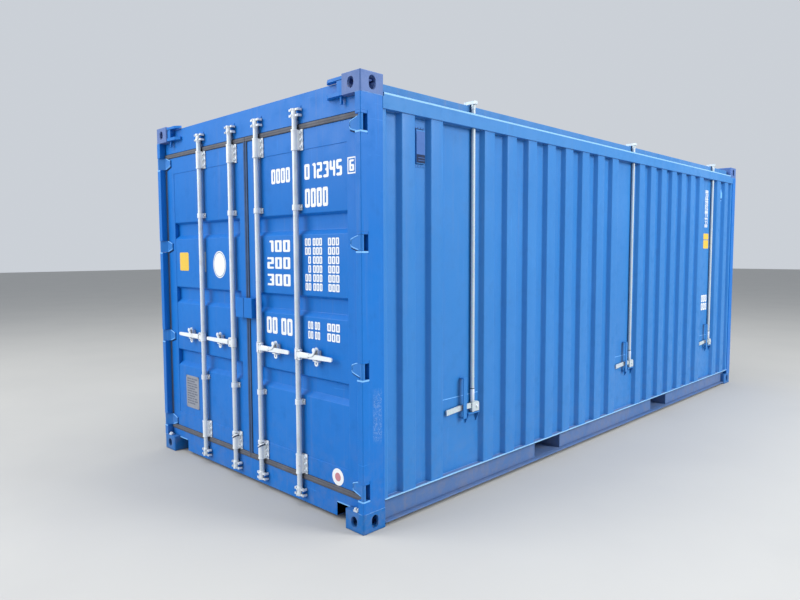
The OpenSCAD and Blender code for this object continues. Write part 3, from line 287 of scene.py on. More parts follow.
def rubber(name, color):
    s = Surface(name, color, 0.75, specular=0.3)
    s.patches(shade(color, 1.5, 0.008), 0.5, (0.4, 0.75), scale=6, detail=4)
    s.patches(shade(color, 2.2, 0.01), 0.3, (0.58, 0.75), scale=70, detail=5, rough=0.7)
    # Painted shade: the rubber darkened in its crevices
    s.tint(s.times(s.corner_shade_mask(0.012), 0.8), shade(color, 0.2))
    s.raise_by(s.noise(220, 3), 0.00025)
    return s.done_between(0.62, 0.85, scale=30)


def plywood():
    s = Surface("floor_plywood", WOOD, 0.6)
    grain = s.noise(1, 6, stretch=GRAIN_LINES, rough=0.6, twist=0.6)
    s.tint(s.band(grain, 0.42, 0.62, 0, 0.75), GRAIN)
    s.patches(PALE_GRAIN, 0.5, (0.5, 0.75), scale=1, detail=4, stretch=GRAIN_BANDS)
    s.patches(WOOD_DIRT, 0.45, (0.55, 0.75), scale=4.5, detail=5)
    s.patches(WOOD_SCRAPE, 0.4, (0.68, 0.74), scale=1, detail=5, stretch=SCRAPES, twist=0.3)
    s.raise_by(grain, 0.0006)
    return s.done(s.band(grain, 0.3, 0.7, 0.5, 0.78))


def film(name, color, rough=0.38, wear=0.5):
    """A stuck-on film or a stencilled mark, rubbed through to the paint here and there."""
    s = Surface(name, color, rough)
    s.patches(BLUE, 0.55 * wear, (0.6, 0.72), scale=30, detail=5, rough=0.7)
    s.patches(shade(color, 0.7), 0.25, (0.5, 0.75), scale=5, detail=4)
    s.patches(DUST, 0.3, (0.58, 0.78), scale=1, detail=5, stretch=FILM_RUNS)
    s.raise_by(s.noise(300, 2), 0.00004)
    return s.done_between(rough - 0.05, rough + 0.18, scale=22)


def weld_metal(name, color):
    s = Surface(name, color, 0.5)
    s.patches(shade(color, 0.6), 0.5, (0.45, 0.7), scale=26, detail=4)
    s.patches(RUST, 0.15, (0.62, 0.7), scale=60, detail=5)
    s.raise_by(s.noise(500, 2), 0.0001)
    return s.done_between(0.4, 0.62, scale=40)


BLUE, PALE_BLUE = (0.004, 0.145, 0.52), (0.012, 0.185, 0.6)
POST_SCUFF = ((1.219, -2.915, 0.67), (0.03, 0.04, 0.17))

# Each paint has a colour and the paler one that it fades to
DOOR_PAINT = paint("door_paint", BLUE, PALE_BLUE, dirt_and_shade=0.25, wear=0.4)
WALL_PAINT = paint("wall_paint", (0.022, 0.18, 0.51), (0.04, 0.22, 0.58), dirt_and_shade=0.2, wear=0.25, specular=0.36)
ROOF_PAINT = paint("roof_paint", (0.05, 0.19, 0.45), (0.11, 0.26, 0.54), dirt_and_shade=0.7, wear=0.3, rough=0.66)
FRAME_PAINT = paint("frame_paint", BLUE, PALE_BLUE, dirt_and_shade=0.3, wear=0.6, scuffs=(POST_SCUFF,))
TOP_RAIL_PAINT = paint("top_rail_paint", (0.04, 0.2, 0.51), (0.1, 0.27, 0.58), dirt_and_shade=0.2, wear=0.3, rough=0.5)
# The rails' greyer, duller blue is partly dust and partly painted shade and light reflected from the ground
RAIL_PAINT = paint("rail_paint", (0.075, 0.17, 0.39), (0.17, 0.22, 0.38), wear=0.7, rough=0.55)
CASTING_PAINT = paint("casting_paint", (0.006, 0.135, 0.44), (0.04, 0.18, 0.46), wear=1, rough=0.5,
                      bare=PRIMER)
TOP_CASTING_PAINT = paint("top_casting_paint", (0.07, 0.15, 0.39), (0.19, 0.23, 0.42), wear=1, rough=0.5,
                          bare=PRIMER)
HINGE_PAINT = paint("hinge_paint", (0.015, 0.165, 0.52), (0.07, 0.23, 0.58), dirt_and_shade=0.4, wear=0.8, rough=0.5)
# Painted highlight: paler blues laid on edges, lips, beads and small hoods where light catches them
HIGHLIGHT_PAINT = paint("highlight_paint", (0.17, 0.45, 0.86), (0.3, 0.58, 0.9), dirt_and_shade=0.1, wear=0.1)
LIP_HIGHLIGHT_PAINT = paint("lip_highlight_paint", (0.23, 0.47, 0.72), (0.32, 0.56, 0.78), dirt_and_shade=0.2, wear=0.2, rough=0.4)
VENT_PAINT = paint("vent_paint", (0.05, 0.14, 0.41), (0.1, 0.19, 0.48), dirt_and_shade=0, wear=0)
ZINC = galvanised("galvanised_steel", (0.66, 0.73, 0.8), 0.3, 0.03)
CAST_ZINC = galvanised("galvanised_castings", (0.76, 0.81, 0.86), 0.1, 0.03)
ROD_ZINC = galvanised("galvanised_roof_rods", (0.52, 0.6, 0.64), 0.2, 0.02)
SEAL = rubber("seal_rubber", (0.09, 0.095, 0.115))
SEAM = rubber("seam_rubber", (0.042, 0.09, 0.2))
BOARDS = plywood()
WHITE = film("white_mark", (0.8, 0.82, 0.83), wear=0.5)
YELLOW = film("yellow_film", (0.74, 0.49, 0.05), wear=0.2)
RED = film("muted_film", (0.5, 0.2, 0.24), wear=0.2)
GREY = film("grey_print", (0.1, 0.12, 0.17), wear=0.0)
PALE_GREY = film("pale_grey_print", (0.2, 0.29, 0.44), wear=0.3)
PLATE = film("plate_metal", (0.25, 0.27, 0.32), rough=0.5, wear=0.0)
WELD = weld_metal("weld_seam", (0.075, 0.23, 0.56))
# Painted shade: a near-black blue laid in gaps, mouths and under edges where shade falls
DARK_SHADE = rubber("shadow_gap", (0.003, 0.016, 0.06))

RAIL = "bottom_rail_flanges"
ROOF_RODS = [(side, s, place) for side, s in SIDES.items() for place in ("rear", "middle", "front")]
OWN_FINISH = {
    RAIL_PAINT: (RAIL, "bottom_rail_webs", "front_sill", "cross_members", "fork_pocket_walls",
                 "fork_pocket_plates"),
    CASTING_PAINT: ("bottom_fittings_rear", "bottom_fittings_front"),
    TOP_CASTING_PAINT: ("top_fittings_rear", "top_fittings_front"),
    TOP_RAIL_PAINT: ("top_side_rails",),
    ROOF_PAINT: ("roof_frame",),
    ROD_ZINC: tuple(f"roof_rod_{side}_{place}" for side, s, place in ROOF_RODS),
    HINGE_PAINT: ("left_door_hinges", "right_door_hinges"),
    CAST_ZINC: ("left_rod_brackets", "right_rod_brackets", "lock_gear_1", "lock_gear_2", "lock_gear_3",
                "lock_gear_4", "left_handle_catches", "right_handle_catches"),
}
NODE_FINISH = {node: finish for finish, nodes in OWN_FINISH.items() for node in nodes}
SLOT_PAINT = {"frame_paint": FRAME_PAINT, "wall_paint": WALL_PAINT, "door_paint": DOOR_PAINT,
              "zinc": ZINC, "seal": SEAL, "boards": BOARDS}

# How far the edges of the CAD nodes are rounded, by slot and then by node
SLOT_EDGE = {"frame_paint": 0.0035, "wall_paint": 0.0025, "door_paint": 0.003, "zinc": 0.0015}
OWN_EDGE = {"bottom_fittings_rear": 0.009, "bottom_fittings_front": 0.009,
            "top_fittings_rear": 0.006, "top_fittings_front": 0.006}
SHARP_NODES = ("left_door_gasket", "right_door_gasket")


# Mesh tools

def circle(a, b, steps, turn=0.0):
    """Points round an ellipse with the half axes a and b."""
    angles = [math.tau * k / steps + turn for k in range(steps)]
    return [(a * math.cos(angle), b * math.sin(angle)) for angle in angles]


class Shape:
    """Gathers faces and becomes one piece of the object."""

    def __init__(self):
        self.bm = bmesh.new()

    def grid(self, rows, closed=False):
        """A surface through rows of points; closed joins each row's ends. Returns its vertices."""
        verts = [[self.bm.verts.new(p) for p in row] for row in rows]
        n = len(verts[0])
        for a, b in zip(verts, verts[1:]):
            for i in range(n if closed else n - 1):
                j = (i + 1) % n
                self.bm.faces.new((a[i], a[j], b[j], b[i]))
        return verts

    def loft(self, rows):
        """A solid through closed rows of points."""
        verts = self.grid(rows, closed=True)
        self.bm.faces.new(list(reversed(verts[0])))
        self.bm.faces.new(verts[-1])

    def lathe(self, profile, place, steps=20, turn=0.0):
        """A turned solid: (radius, height) points about the local Z of place, a frame or a point."""
        if not isinstance(place, Matrix):
            place = Matrix.Translation(place)
        self.loft([[place @ Vector((u, v, h)) for u, v in circle(r, r, steps, turn)] for r, h in profile])

    def slab(self, corner, opposite, edge=0.001):
        """A box between two corners, in any order, with chamfered upright edges."""
        low, high = (Vector(map(pick, corner, opposite)) for pick in (min, max))
        w, d, h = high - low
        e = min(edge, w / 3, d / 3)
        outline = [(e, 0), (w - e, 0), (w, e), (w, d - e), (w - e, d), (e, d), (0, d - e), (0, e)]
        self.loft([[low + Vector((u, v, t)) for u, v in outline] for t in (0, h)])

    def bar(self, outline, y0, y1):
        """A solid along Y with the given (x, z) outline."""
        self.loft([[(x, y, z) for x, z in outline] for y in (y0, y1)])

    def tube(self, points, radius, sides=8, ripple=0.0):
        """A round bead along points, with its radius varied a little when ripple is set."""
        rows = []
        for i, p in enumerate(points):
            ahead = points[min(i + 1, len(points) - 1)] - points[max(i - 1, 0)]
            turn = ahead.to_track_quat("Z", "Y")
            r = radius * (1 + ripple * math.sin(i * 2.3))
            rows.append([p + turn @ Vector((u, v, 0)) for u, v in circle(r, r, sides)])
        self.loft(rows)

    def piece(self, name, material, slot, body="container", sharp=32):
        bmesh.ops.recalc_face_normals(self.bm, faces=self.bm.faces)
        mesh = bpy.data.meshes.new(name)
        self.bm.to_mesh(mesh)
        self.bm.free()
        mesh.materials.append(material)
        for face in mesh.polygons:
            face.use_smooth = True
        mesh.set_sharp_from_angle(angle=math.radians(sharp))
        obj = add_object(name, mesh)
        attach(obj, body)
        return obj


def add_object(name, data):
    obj = bpy.data.objects.new(name, data)
    bpy.context.scene.collection.objects.link(obj)
    return obj


def facing(point, normal, up=Z):
    """A frame at point whose local Z is normal and whose local Y is near up."""
    z = normal.normalized()
    x = up.cross(z).normalized()
    return Matrix.Translation(point) @ Matrix((x, z.cross(x), z)).transposed().to_4x4()


def solids(node):
    """The lowest and highest corner of each separate solid of a CAD node, from low to high."""
    mesh = NODES[node].data
    keys = [tuple(round(c, 5) for c in v.co) for v in mesh.vertices]
    parent = {k: k for k in keys}

    def root(k):
        while parent[k] != k:
            parent[k] = parent[parent[k]]
            k = parent[k]
        return k

    for edge in mesh.edges:
        a, b = (root(keys[i]) for i in edge.vertices)
        parent[a] = b
    groups = {}
    for k in parent:
        groups.setdefault(root(k), []).append(k)
    boxes = [(Vector(map(min, *g)), Vector(map(max, *g))) for g in groups.values()]
    return sorted(boxes, key=lambda b: (round(b[0].z, 3), round(b[0].x, 3), round(b[0].y, 3)))


def modifier(obj, name, kind, **settings):
    added = obj.modifiers.new(name, kind)
    for key, value in settings.items():
        setattr(added, key, value)


def soften(obj, width):
    """Rounds the edges of a CAD node with modifiers and leaves its mesh alone."""
    modifier(obj, "join", "WELD", merge_threshold=0.00002)
    modifier(obj, "flat", "DECIMATE", decimate_type="DISSOLVE", angle_limit=math.radians(1))
    modifier(obj, "edge", "BEVEL", limit_method="ANGLE", angle_limit=math.radians(40), width=width,
             segments=2, use_clamp_overlap=True)
    modifier(obj, "shade", "WEIGHTED_NORMAL", keep_sharp=True)


# Folded sheets

# Each folded CAD sheet: the axis along its fold line, the axis of its depth, and its outward sign
FOLDS = {"front_wall": ("x", "y", 1), "roof_panel": ("y", "z", 1)}
for side, s in SIDES.items():
    FOLDS[f"side_wall_{side}"] = ("y", "x", s)
    FOLDS[f"{side}_door_panel"] = ("z", "y", -1)

WAVE_SIZE = 0.0014      # height of a sheet's slow waves
CALM_EDGE = 0.2         # the waves fade out towards the ends of the fold line
SHEET_STEPS = 16        # rows of points across a sheet


def fold_axes(node):
    """The numbers of the axes along, into and across a folded sheet, and its outward sign."""
    along, depth, outward = FOLDS[node]
    a, b = "xyz".index(along), "xyz".index(depth)
    return a, b, 3 - a - b, outward


def fold_line(node):
    """The outer line of a folded CAD sheet, as (place along it, depth) points."""
    a, b, c, outward = fold_axes(node)
    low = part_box(node)[0][c]
    found = {}
    for v in NODES[node].data.vertices:
        if abs(v.co[c] - low) < 1e-4:
            found.setdefault(round(v.co[a], 4), []).append(v.co[b])
    pick = max if outward > 0 else min
    return [(u, pick(ws)) for u, ws in sorted(found.items())]


def rounded(line, radius, steps=4):
    """The line with each inner corner replaced by an arc."""
    out = [Vector(line[0])]
    for before, corner, after in zip(line, line[1:], line[2:]):
        p, a, b = Vector(corner), Vector(before), Vector(after)
        u, v = (a - p), (b - p)
        reach = 0.45 * min(u.length, v.length)
        half = (math.pi - u.angle(v)) / 2
        cut = min(radius * math.tan(half), reach) if half > 1e-4 else 0
        if cut < 1e-5:
            out.append(p)
            continue
        start, end = p + u.normalized() * cut, p + v.normalized() * cut
        for k in range(steps + 1):
            t = k / steps
            out.append(start * (1 - t) ** 2 + p * 2 * t * (1 - t) + end * t ** 2)
    return out + [Vector(line[-1])]


def wave(u, w, size, seed):
    """Slow unevenness of a sheet, in metres."""
    return size * (noise.noise(Vector((u * 1.7, w * 1.3, seed))) * 0.7
                   + noise.noise(Vector((u * 5.1, w * 4.1, seed + 7))) * 0.3)


def folded_sheet(node, thickness, body, material, size=WAVE_SIZE, seed=0.0):
    """A sheet with rounded folds and slight waves that stands for a folded CAD sheet."""
    a, b, c, outward = fold_axes(node)
    low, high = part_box(node)
    line = rounded(fold_line(node), BEND_R)
    first, last = line[0][0], line[-1][0]

    def point(u, v, k, inset):
        w = low[c] + (high[c] - low[c]) * k / SHEET_STEPS
        calm = math.sin(math.pi * k / SHEET_STEPS) ** 0.5
        edge = min(1, (u - first) / CALM_EDGE, (last - u) / CALM_EDGE)
        p = Vector((0, 0, 0))
        p[a], p[c] = u, w
        p[b] = v - outward * (inset + abs(wave(u, w, size, seed)) * calm * edge)
        return p

    shape = Shape()
    outer, inner = (shape.grid([[point(u, v, k, inset) for u, v in line] for k in range(SHEET_STEPS + 1)])
                    for inset in (0, thickness))
    rims = [(outer[0], inner[0]), (outer[-1], inner[-1])]
    rims += [([row[end] for row in outer], [row[end] for row in inner]) for end in (0, -1)]
    for one, other in rims:
        for i in range(len(one) - 1):
            shape.bm.faces.new((one[i], one[i + 1], other[i + 1], other[i]))
    piece = shape.piece(node + "_sheet", material, NODE_SLOT[node], body, sharp=50)
    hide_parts(node)


def walls_and_roof():
    for i, side in enumerate(SIDES):
        folded_sheet(f"side_wall_{side}", SHEET_T, "container", WALL_PAINT, seed=i * 3.1)
        folded_sheet(f"{side}_door_panel", PANEL_T, f"{side}_door", DOOR_PAINT, 0.0009, seed=20 + i * 4.7)
    folded_sheet("front_wall", SHEET_T, "container", WALL_PAINT, seed=11)
    folded_sheet("roof_panel", PANEL_T, "container", ROOF_PAINT, size=0.002, seed=15)


# Fasteners

def bolt(shape, point, normal, size=0.009, turn=0.0):
    """A washer, a chamfered hexagon head and the rounded end of its thread."""
    place = facing(point, normal)
    washer = [(size * 1.25, -0.0004), (size * 1.25, 0.0012), (size * 1.12, 0.002)]
    head = [(size * 0.98, 0.0018), (size, 0.0026), (size, size * 0.62), (size * 0.82, size * 0.78)]
    thread = [(size * 0.45, size * 0.7), (size * 0.45, size * 0.9), (size * 0.3, size * 1.05)]
    shape.lathe(washer, place, 18)
    shape.lathe(head, place, 6, turn)
    shape.lathe(thread, place, 10)


def rivet(shape, point, normal, size=0.005):
    dome = [(size, -0.0003), (size * 0.95, size * 0.3), (size * 0.6, size * 0.55), (size * 0.1, size * 0.62)]
    shape.lathe(dome, facing(point, normal), 12)


# Door gear; the profiles are (radius, height) and the sections (distance from the rod's axis, d)
BOSS = ((0.0165, -0.003), (0.0165, 0.0012), (0.0145, 0.0026), (0.01, 0.0026))
BOSS_RISE = 0.0024
WEB_SECTION = ((0.0195, 0.0205), (0.031, FACE_D - 0.0105), (0.034, FACE_D - 0.0052),
               (0.012, FACE_D - 0.0052), (0.012, 0.03))
HOLE_SHARE = 0.42       # where a flange's bolts stand, as a share of its width from its end


def door_bolts(side):
    """Bolts and bosses on the flanges of the rod brackets, their webs, and bolts in the catches' stems."""
    shape, webs = Shape(), Shape()
    for i, (low, high) in enumerate(solids(f"{side}_rod_brackets")):
        tall = high.z - low.z > LARGE_BRACKET_H
        x = high.x - (high.x - low.x - 2 * BRACKET_R) * HOLE_SHARE
        for k, share in enumerate((0.17, 0.5, 0.83) if tall else (0.5,)):
            point = Vector((x, high.y - FLANGE_T, low.z + (high.z - low.z) * share))
            if tall:
                webs.lathe(BOSS, facing(point, -Y), 24)
                point.y -= BOSS_RISE
            bolt(shape, point, -Y, 0.01 if tall else 0.008, turn=i + k * 0.7)
        if tall:
            axis = low.x + LARGE_R
            webs.loft([[(axis + u, -HALF_L + d, z) for u, d in WEB_SECTION]
                       for z in (low.z + 0.004, high.z - 0.004)])
    for i, (low, high) in enumerate(solids(f"{side}_handle_catches")):
        x = (low.x + high.x) / 2
        for k, z in enumerate((low.z + 0.043, high.z - 0.017)):
            bolt(shape, (x, low.y + 0.013, z), -Y, 0.0075, turn=i + k)
    shape.piece(f"{side}_door_bolts", ZINC, "zinc", f"{side}_door")
    webs.piece(f"{side}_bracket_webs", CAST_ZINC, "zinc", f"{side}_door")


def hinge_rims(side, s):
    """The cast rim round each tapering hinge blade, pale as a painted highlight, and a dark line of painted shadow
    under its lower edge.
    """
    rim, joint = Shape(), Shape()
    slope, tip, full, r = 0.069, 0.022, 0.042, 0.0034
    for low, high in solids(f"{side}_door_hinges"):
        inner = low.x if s > 0 else high.x
        z = (low.z + high.z) / 2

        def at(u, w, d=BLADE_D):
            return Vector((inner + s * u, -HALF_L + d, z + w))

        # Painted highlight: the rim is laid in a paler blue
        rim.tube([at(slope, full), at(0.03, 0.031), at(0.006, tip), at(0.003, tip - 0.004),
                  at(0.003, 4 * r - tip), at(0.006, r - tip), at(0.03, r - 0.031), at(slope, r - full)], r)
        # Painted shadow: a dark line on the frame under the blade's lower edge
        under = ((0.0, -tip - 0.006), (0.03, -0.038), (slope, -0.049))
        joint.tube([at(u, w, FACE_D - 0.001) for u, w in under], 0.004)
    rim.piece(f"{side}_hinge_rims", HIGHLIGHT_PAINT, "door_paint", f"{side}_door", sharp=60)
    joint.piece(f"{side}_hinge_shadow_lines", DARK_SHADE, "door_paint", f"{side}_door", sharp=60)


def hinge_spans():
    """The box of each hinge recess, from its lower ear to its upper one."""
    spans = {}
    for low, high in solids("hinge_lugs"):
        key = (low.x > 0, round((low.z + high.z) / 2, 1))
        a, b = spans.get(key, (low, high))
        spans[key] = (Vector(map(min, a, low)), Vector(map(max, b, high)))
    return spans.values()


PIN_END = ((0.0085, -0.001), (0.0085, 0.0006), (0.006, 0.0016), (0.001, 0.002))
LEDGE_HIGHLIGHT_Z = (0.006, 0.0155)   # a painted highlight on a lower ear's edge, above the ear's underside


def hinge_details():
    """The hinge pins' rounded ends, a plate at the back of each recess and a painted highlight along the edge of
    its lower ear.
    """
    ends, backs, ledge_highlights = Shape(), Shape(), Shape()
    pin_in = HALF_W - abs(JOINT_AT["left_door_hinge"][0])
    for low, high in hinge_spans():
        s = 1 if low.x > 0 else -1
        for z, up in ((high.z, Z), (low.z, -Z)):
            ends.lathe(PIN_END, facing((s * (HALF_W - pin_in), -HALF_L + pin_in, z), up, Y), 16)
        x0, x1 = low.x + 0.001, high.x - 0.001
        backs.slab((x0, high.y + 0.0005, low.z + 0.001), (x1, high.y + 0.0035, high.z - 0.001))
        # Painted highlight: pale strips where the lower ear's edge catches the light
        z0, z1 = (low.z + z for z in LEDGE_HIGHLIGHT_Z)
        ledge_highlights.slab((x0, low.y - 0.0004, z0), (x1, low.y + 0.01, z1), 0.0006)
        ledge_highlights.slab((s * (HALF_W - 0.01), low.y + 0.0005, z0), (s * (HALF_W + 0.0004), high.y, z1), 0.0006)
    ledge_highlights.piece("hinge_ledge_highlights", HIGHLIGHT_PAINT, "frame_paint")
    ends.piece("hinge_pin_ends", FRAME_PAINT, "frame_paint")
    backs.piece("hinge_recess_backs", FRAME_PAINT, "frame_paint")


# Seals

# The lips on a seal's front: (share of its width, height)
LIPS = ((0.02, 0), (0.08, 0.0018), (0.26, 0.0022), (0.34, 0.0008), (0.44, 0.0008), (0.54, 0.0026),
        (0.72, 0.003), (0.82, 0.001), (0.92, 0.0008), (0.98, 0))
HINGE_LIP_W = 0.013


def lip_strip(shape, start, end, across, width):
    """A strip of lips from start to end, with its width along across and a slight sag."""
    n = max(2, int((end - start).length / 0.08))
    rows = []
    for k in range(n + 1):
        p = start.lerp(end, k / n)
        sag = wave(p.x * 3, p.z * 3, 0.0006, 5)
        row = [p + across * (width * u) - Y * (h + (sag if 0.05 < u < 0.95 else 0)) for u, h in LIPS]
        rows.append(row + [p + across * (width * u) + Y * 0.001 for u in (0.98, 0.02)])
    shape.loft(rows)


def seal_strips(side, s):
    """Lips on the front of each door's seal, along the header, the sill, the seam and the hinges."""
    low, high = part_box(f"{side}_door_gasket")
    leaf_low, leaf_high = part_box(f"{side}_door_frame")
    bottom, top = leaf_low.z, leaf_high.z
    inner, outer = (leaf_low.x, leaf_high.x) if s > 0 else (leaf_high.x, leaf_low.x)
    middle = low.x if s > 0 else high.x
    shape, seam = Shape(), Shape()
    for z, across, width in ((top, Z, high.z - top), (bottom, -Z, bottom - low.z)):
        lip_strip(shape, Vector((middle, low.y, z)), Vector((outer, low.y, z)), across, width)
    # The hinge-side lip is a seal strip, dark also as painted shade of the post's inner face
    for x, y, width in ((middle, low.y, abs(inner - middle)),
                        (outer - s * HINGE_LIP_W, leaf_low.y - 0.0004, HINGE_LIP_W)):
        lip_strip(seam, Vector((x, y, bottom)), Vector((x, y, top)), X * s, width)
    shape.piece(f"{side}_seal_lips", SEAL, "seal", f"{side}_door", sharp=60)
    seam.piece(f"{side}_seam_lip", SEAM, "seal", f"{side}_door", sharp=60)


# Welds and lips of the frame

def run(start, end, pitch=0.014):
    """Points from start to end, about a pitch apart."""
    n = max(2, int((end - start).length / pitch))
    return [start.lerp(end, k / n) for k in range(n + 1)]


def frame_welds():
    """Weld beads where the fittings meet the posts, and along both edges of the side walls."""
    shape = Shape()
    r, sunk, corner, post_e = 0.0032, 0.0024, 0.012, 0.047
    heights = (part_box("bottom_fittings_rear")[1].z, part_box("top_fittings_rear")[0].z)
    for node, end in (("rear_posts", -1), ("front_posts", 1)):
        low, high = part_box(node)
        face, back = end * (HALF_L - sunk), end * (HALF_L - (high.y - low.y))
        for s in SIDES.values():
            x = s * (HALF_W - sunk)
            for z in heights:
                for start, stop in (((x, face - end * corner, z), (x, back, z)),
                                    ((x - s * corner, face, z), (s * (HALF_W - post_e), face, z))):
                    shape.tube(run(Vector(start), Vector(stop)), r, ripple=0.12)
    for side in SIDES:
        line = rounded(fold_line(f"side_wall_{side}"), BEND_R, steps=2)
        for z in (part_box(RAIL)[1].z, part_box("top_side_rails")[0].z):
            shape.tube([Vector((x, y, z)) for y, x in line], 0.0026, sides=6, ripple=0.15)
    shape.piece("frame_welds", WELD, "frame_paint", sharp=60)


# The top of a rail's lip over its foot, as (e, height), and the roof's seal, as (out of the frame, height)
LIP_TOP = ((-0.0006, -0.002), (0.0006, 0.0004), (0.003, 0.0014), (0.012, 0.0014), (0.012, -0.002))
ROOF_SEAL = ((-0.001, 0.0003), (0.007, 0.0003), (0.0078, 0.002), (0.006, 0.0055), (0.0035, 0.0075),
             (0.0, 0.0085), (-0.001, 0.0085))


def edge_strips():
    """The rounded lips of the side rails, pale as a painted highlight, and the roof's seal, dark also as painted
    shadow under the roof's edge.
    """
    shape, seal = Shape(), Shape()
    rail_low, rail_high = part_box("top_side_rails")
    flange_low, flange_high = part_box(RAIL)
    roof_low, roof_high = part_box("roof_frame")
    lips = ((rail_high.z, 0.012, rail_low.y + 0.009, rail_high.y - 0.079),
            (flange_high.z, 0.0045, flange_low.y + 0.001, flange_high.y - 0.001))
    for s in SIDES.values():
        for z, h, y0, y1 in lips:
            section = ((0.004, -h), (-0.0005, -h + 0.0015)) + LIP_TOP
            shape.bar([(s * (HALF_W - e), z + v) for e, v in section], y0, y1)
        seal.bar([(s * (abs(roof_low.x) + u), rail_high.z + v) for u, v in ROOF_SEAL],
                 roof_low.y + 0.004, roof_high.y - 0.004)
    # Painted highlight on the lips; the seal's dark rubber also stands for painted shadow
    shape.piece("rail_lips", LIP_HIGHLIGHT_PAINT, "frame_paint", sharp=60)
    seal.piece("roof_seal", DARK_SHADE, "frame_paint", sharp=60)


def rail_plugs():
    """The plates that close the small gap behind each rear fitting, in the web of the bottom rails."""
    _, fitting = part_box("bottom_fittings_rear")
    shape = Shape()
    for s in SIDES.values():
        shape.slab((s * (HALF_W - 0.0468), -HALF_L + 0.1702, fitting.z - 0.001),
                   (s * (HALF_W - 0.0425), fitting.y + 0.001, fitting.z + 0.0188), 0.0005)
    shape.piece("rail_plugs", RAIL_PAINT, "frame_paint")


def sill_lips():
    """A narrow lip over each cut-out of the door sill, pale as a painted highlight."""
    _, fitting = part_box("bottom_fittings_rear")
    shape = Shape()
    for s in SIDES.values():
        shape.slab((s * 0.932, -HALF_L + 0.0465, fitting.z - 0.009),
                   (s * 1.052, -HALF_L + 0.0502, fitting.z - 0.003), 0.0008)
    shape.piece("sill_lips", HIGHLIGHT_PAINT, "frame_paint")


# Floor

SHEETS_ACROSS, SHEETS_ALONG = 3, 5
SHEET_GAP = 0.003
SCREW_PITCH, SCREW_ROW_IN, FIRST_SCREW = 0.142, 0.03, 0.06
SCREW_HEAD = ((0.006, -0.0002), (0.0055, 0.0004), (0.002, 0.0001))


def floor():
    """Plywood sheets with narrow gaps between them and rows of screws."""
    low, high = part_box("floor_boards")
    boards, metal = Shape(), Shape()
    width = (high.x - low.x) / SHEETS_ACROSS
    length = (high.y - low.y) / SHEETS_ALONG
    for i in range(SHEETS_ACROSS):
        for k in range(SHEETS_ALONG):
            x0, x1 = (low.x + n * width for n in (i, i + 1))
            y0, y1 = (low.y + n * length for n in (k, k + 1))
            x0, x1, y0, y1 = x0 + SHEET_GAP / 2, x1 - SHEET_GAP / 2, y0 + SHEET_GAP / 2, y1 - SHEET_GAP / 2
            z = high.z - 0.0004 * ((i + k) % 3)
            boards.slab((x0, y0, low.z), (x1, y1, z), 0.0012)
            for y in (y0 + SCREW_ROW_IN, (y0 + y1) / 2, y1 - SCREW_ROW_IN):
                for n in range(int((x1 - x0) / SCREW_PITCH)):
                    metal.lathe(SCREW_HEAD, (x0 + FIRST_SCREW + n * SCREW_PITCH, y, z), 10)
    piece = boards.piece("floor_plywood_sheets", BOARDS, "boards")
    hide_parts("floor_boards")
    metal.piece("floor_screws", ZINC, "zinc")


# Marks and plates

DOOR_FACE = -HALF_L + 0.053     # the set-back sheet of a door
FRAME_FACE = -HALF_L + FACE_D   # the door's frame
MARK_T = 0.0006                 # thickness of a mark
MARK_CLEAR = 0.0008             # how far a mark's front stands off the nominal face
SPACE_W = 0.5                   # width of a blank, in places of a numeral
NUMERAL_GAP = 0.16              # gap after a numeral, in places of a numeral

# The cells of the numerals 0 to 9, row by row, and where the columns and rows of cells end
NUMERALS = ("111 101 101 101 111", "011 001 001 001 001", "111 001 111 100 111", "111 001 011 001 111",
            "101 101 111 001 001", "111 100 111 001 111", "111 100 111 101 111", "111 001 001 001 001",
            "111 101 111 101 111", "111 101 111 001 111")
CELL_COLUMNS = (0, 0.37, 0.63, 1)
CELL_ROWS = (0, 0.18, 0.41, 0.59, 0.82, 1)


def numeral(shape, cells, x0, x1, z0, z1, point):
    """One block numeral from its cells, with outer corners cut off; point turns (x, z, t) into a place."""
    columns = [x0 + (x1 - x0) * share for share in CELL_COLUMNS]
    rows = [z1 - (z1 - z0) * share for share in CELL_ROWS]
    cut = 0.45 * min(columns[1] - columns[0], rows[0] - rows[1])
    grid = [[c == "1" for c in row] for row in cells.split()]
    verts, edges = {}, {}

    def filled(i, k):
        return 0 <= i < len(grid) and 0 <= k < len(grid[i]) and grid[i][k]

    def key(x, z):
        return round(x, 6), round(z, 6)

    def vert(x, z, back):
        place = (*key(x, z), back)
        if place not in verts:
            verts[place] = shape.bm.verts.new(point(x, z, MARK_T if back else 0))
        return verts[place]

    for i, row in enumerate(grid):
        for k, on in enumerate(row):
            if not on:
                continue
            outline = []
            for dk, di in ((0, 1), (1, 1), (1, 0), (0, 0)):
                x, z = columns[k + dk], rows[i + di]
                beside, above = 2 * dk - 1, 2 * di - 1
                if filled(i, k + beside) or filled(i + above, k) or filled(i + above, k + beside):
                    outline.append((x, z))
                    continue
                pair = [(x - beside * cut, z), (x, z + above * cut)]
                outline += pair if dk == di else pair[::-1]
            for back in (False, True):
                shape.bm.faces.new([vert(x, z, back) for x, z in (outline[::-1] if back else outline)])
            for p, q in zip(outline, outline[1:] + outline[:1]):
                edge = frozenset((key(*p), key(*q)))
                edges[edge] = None if edge in edges else (p, q)
    for p, q in filter(None, edges.values()):
        shape.bm.faces.new((vert(*q, False), vert(*p, False), vert(*p, True), vert(*q, True)))


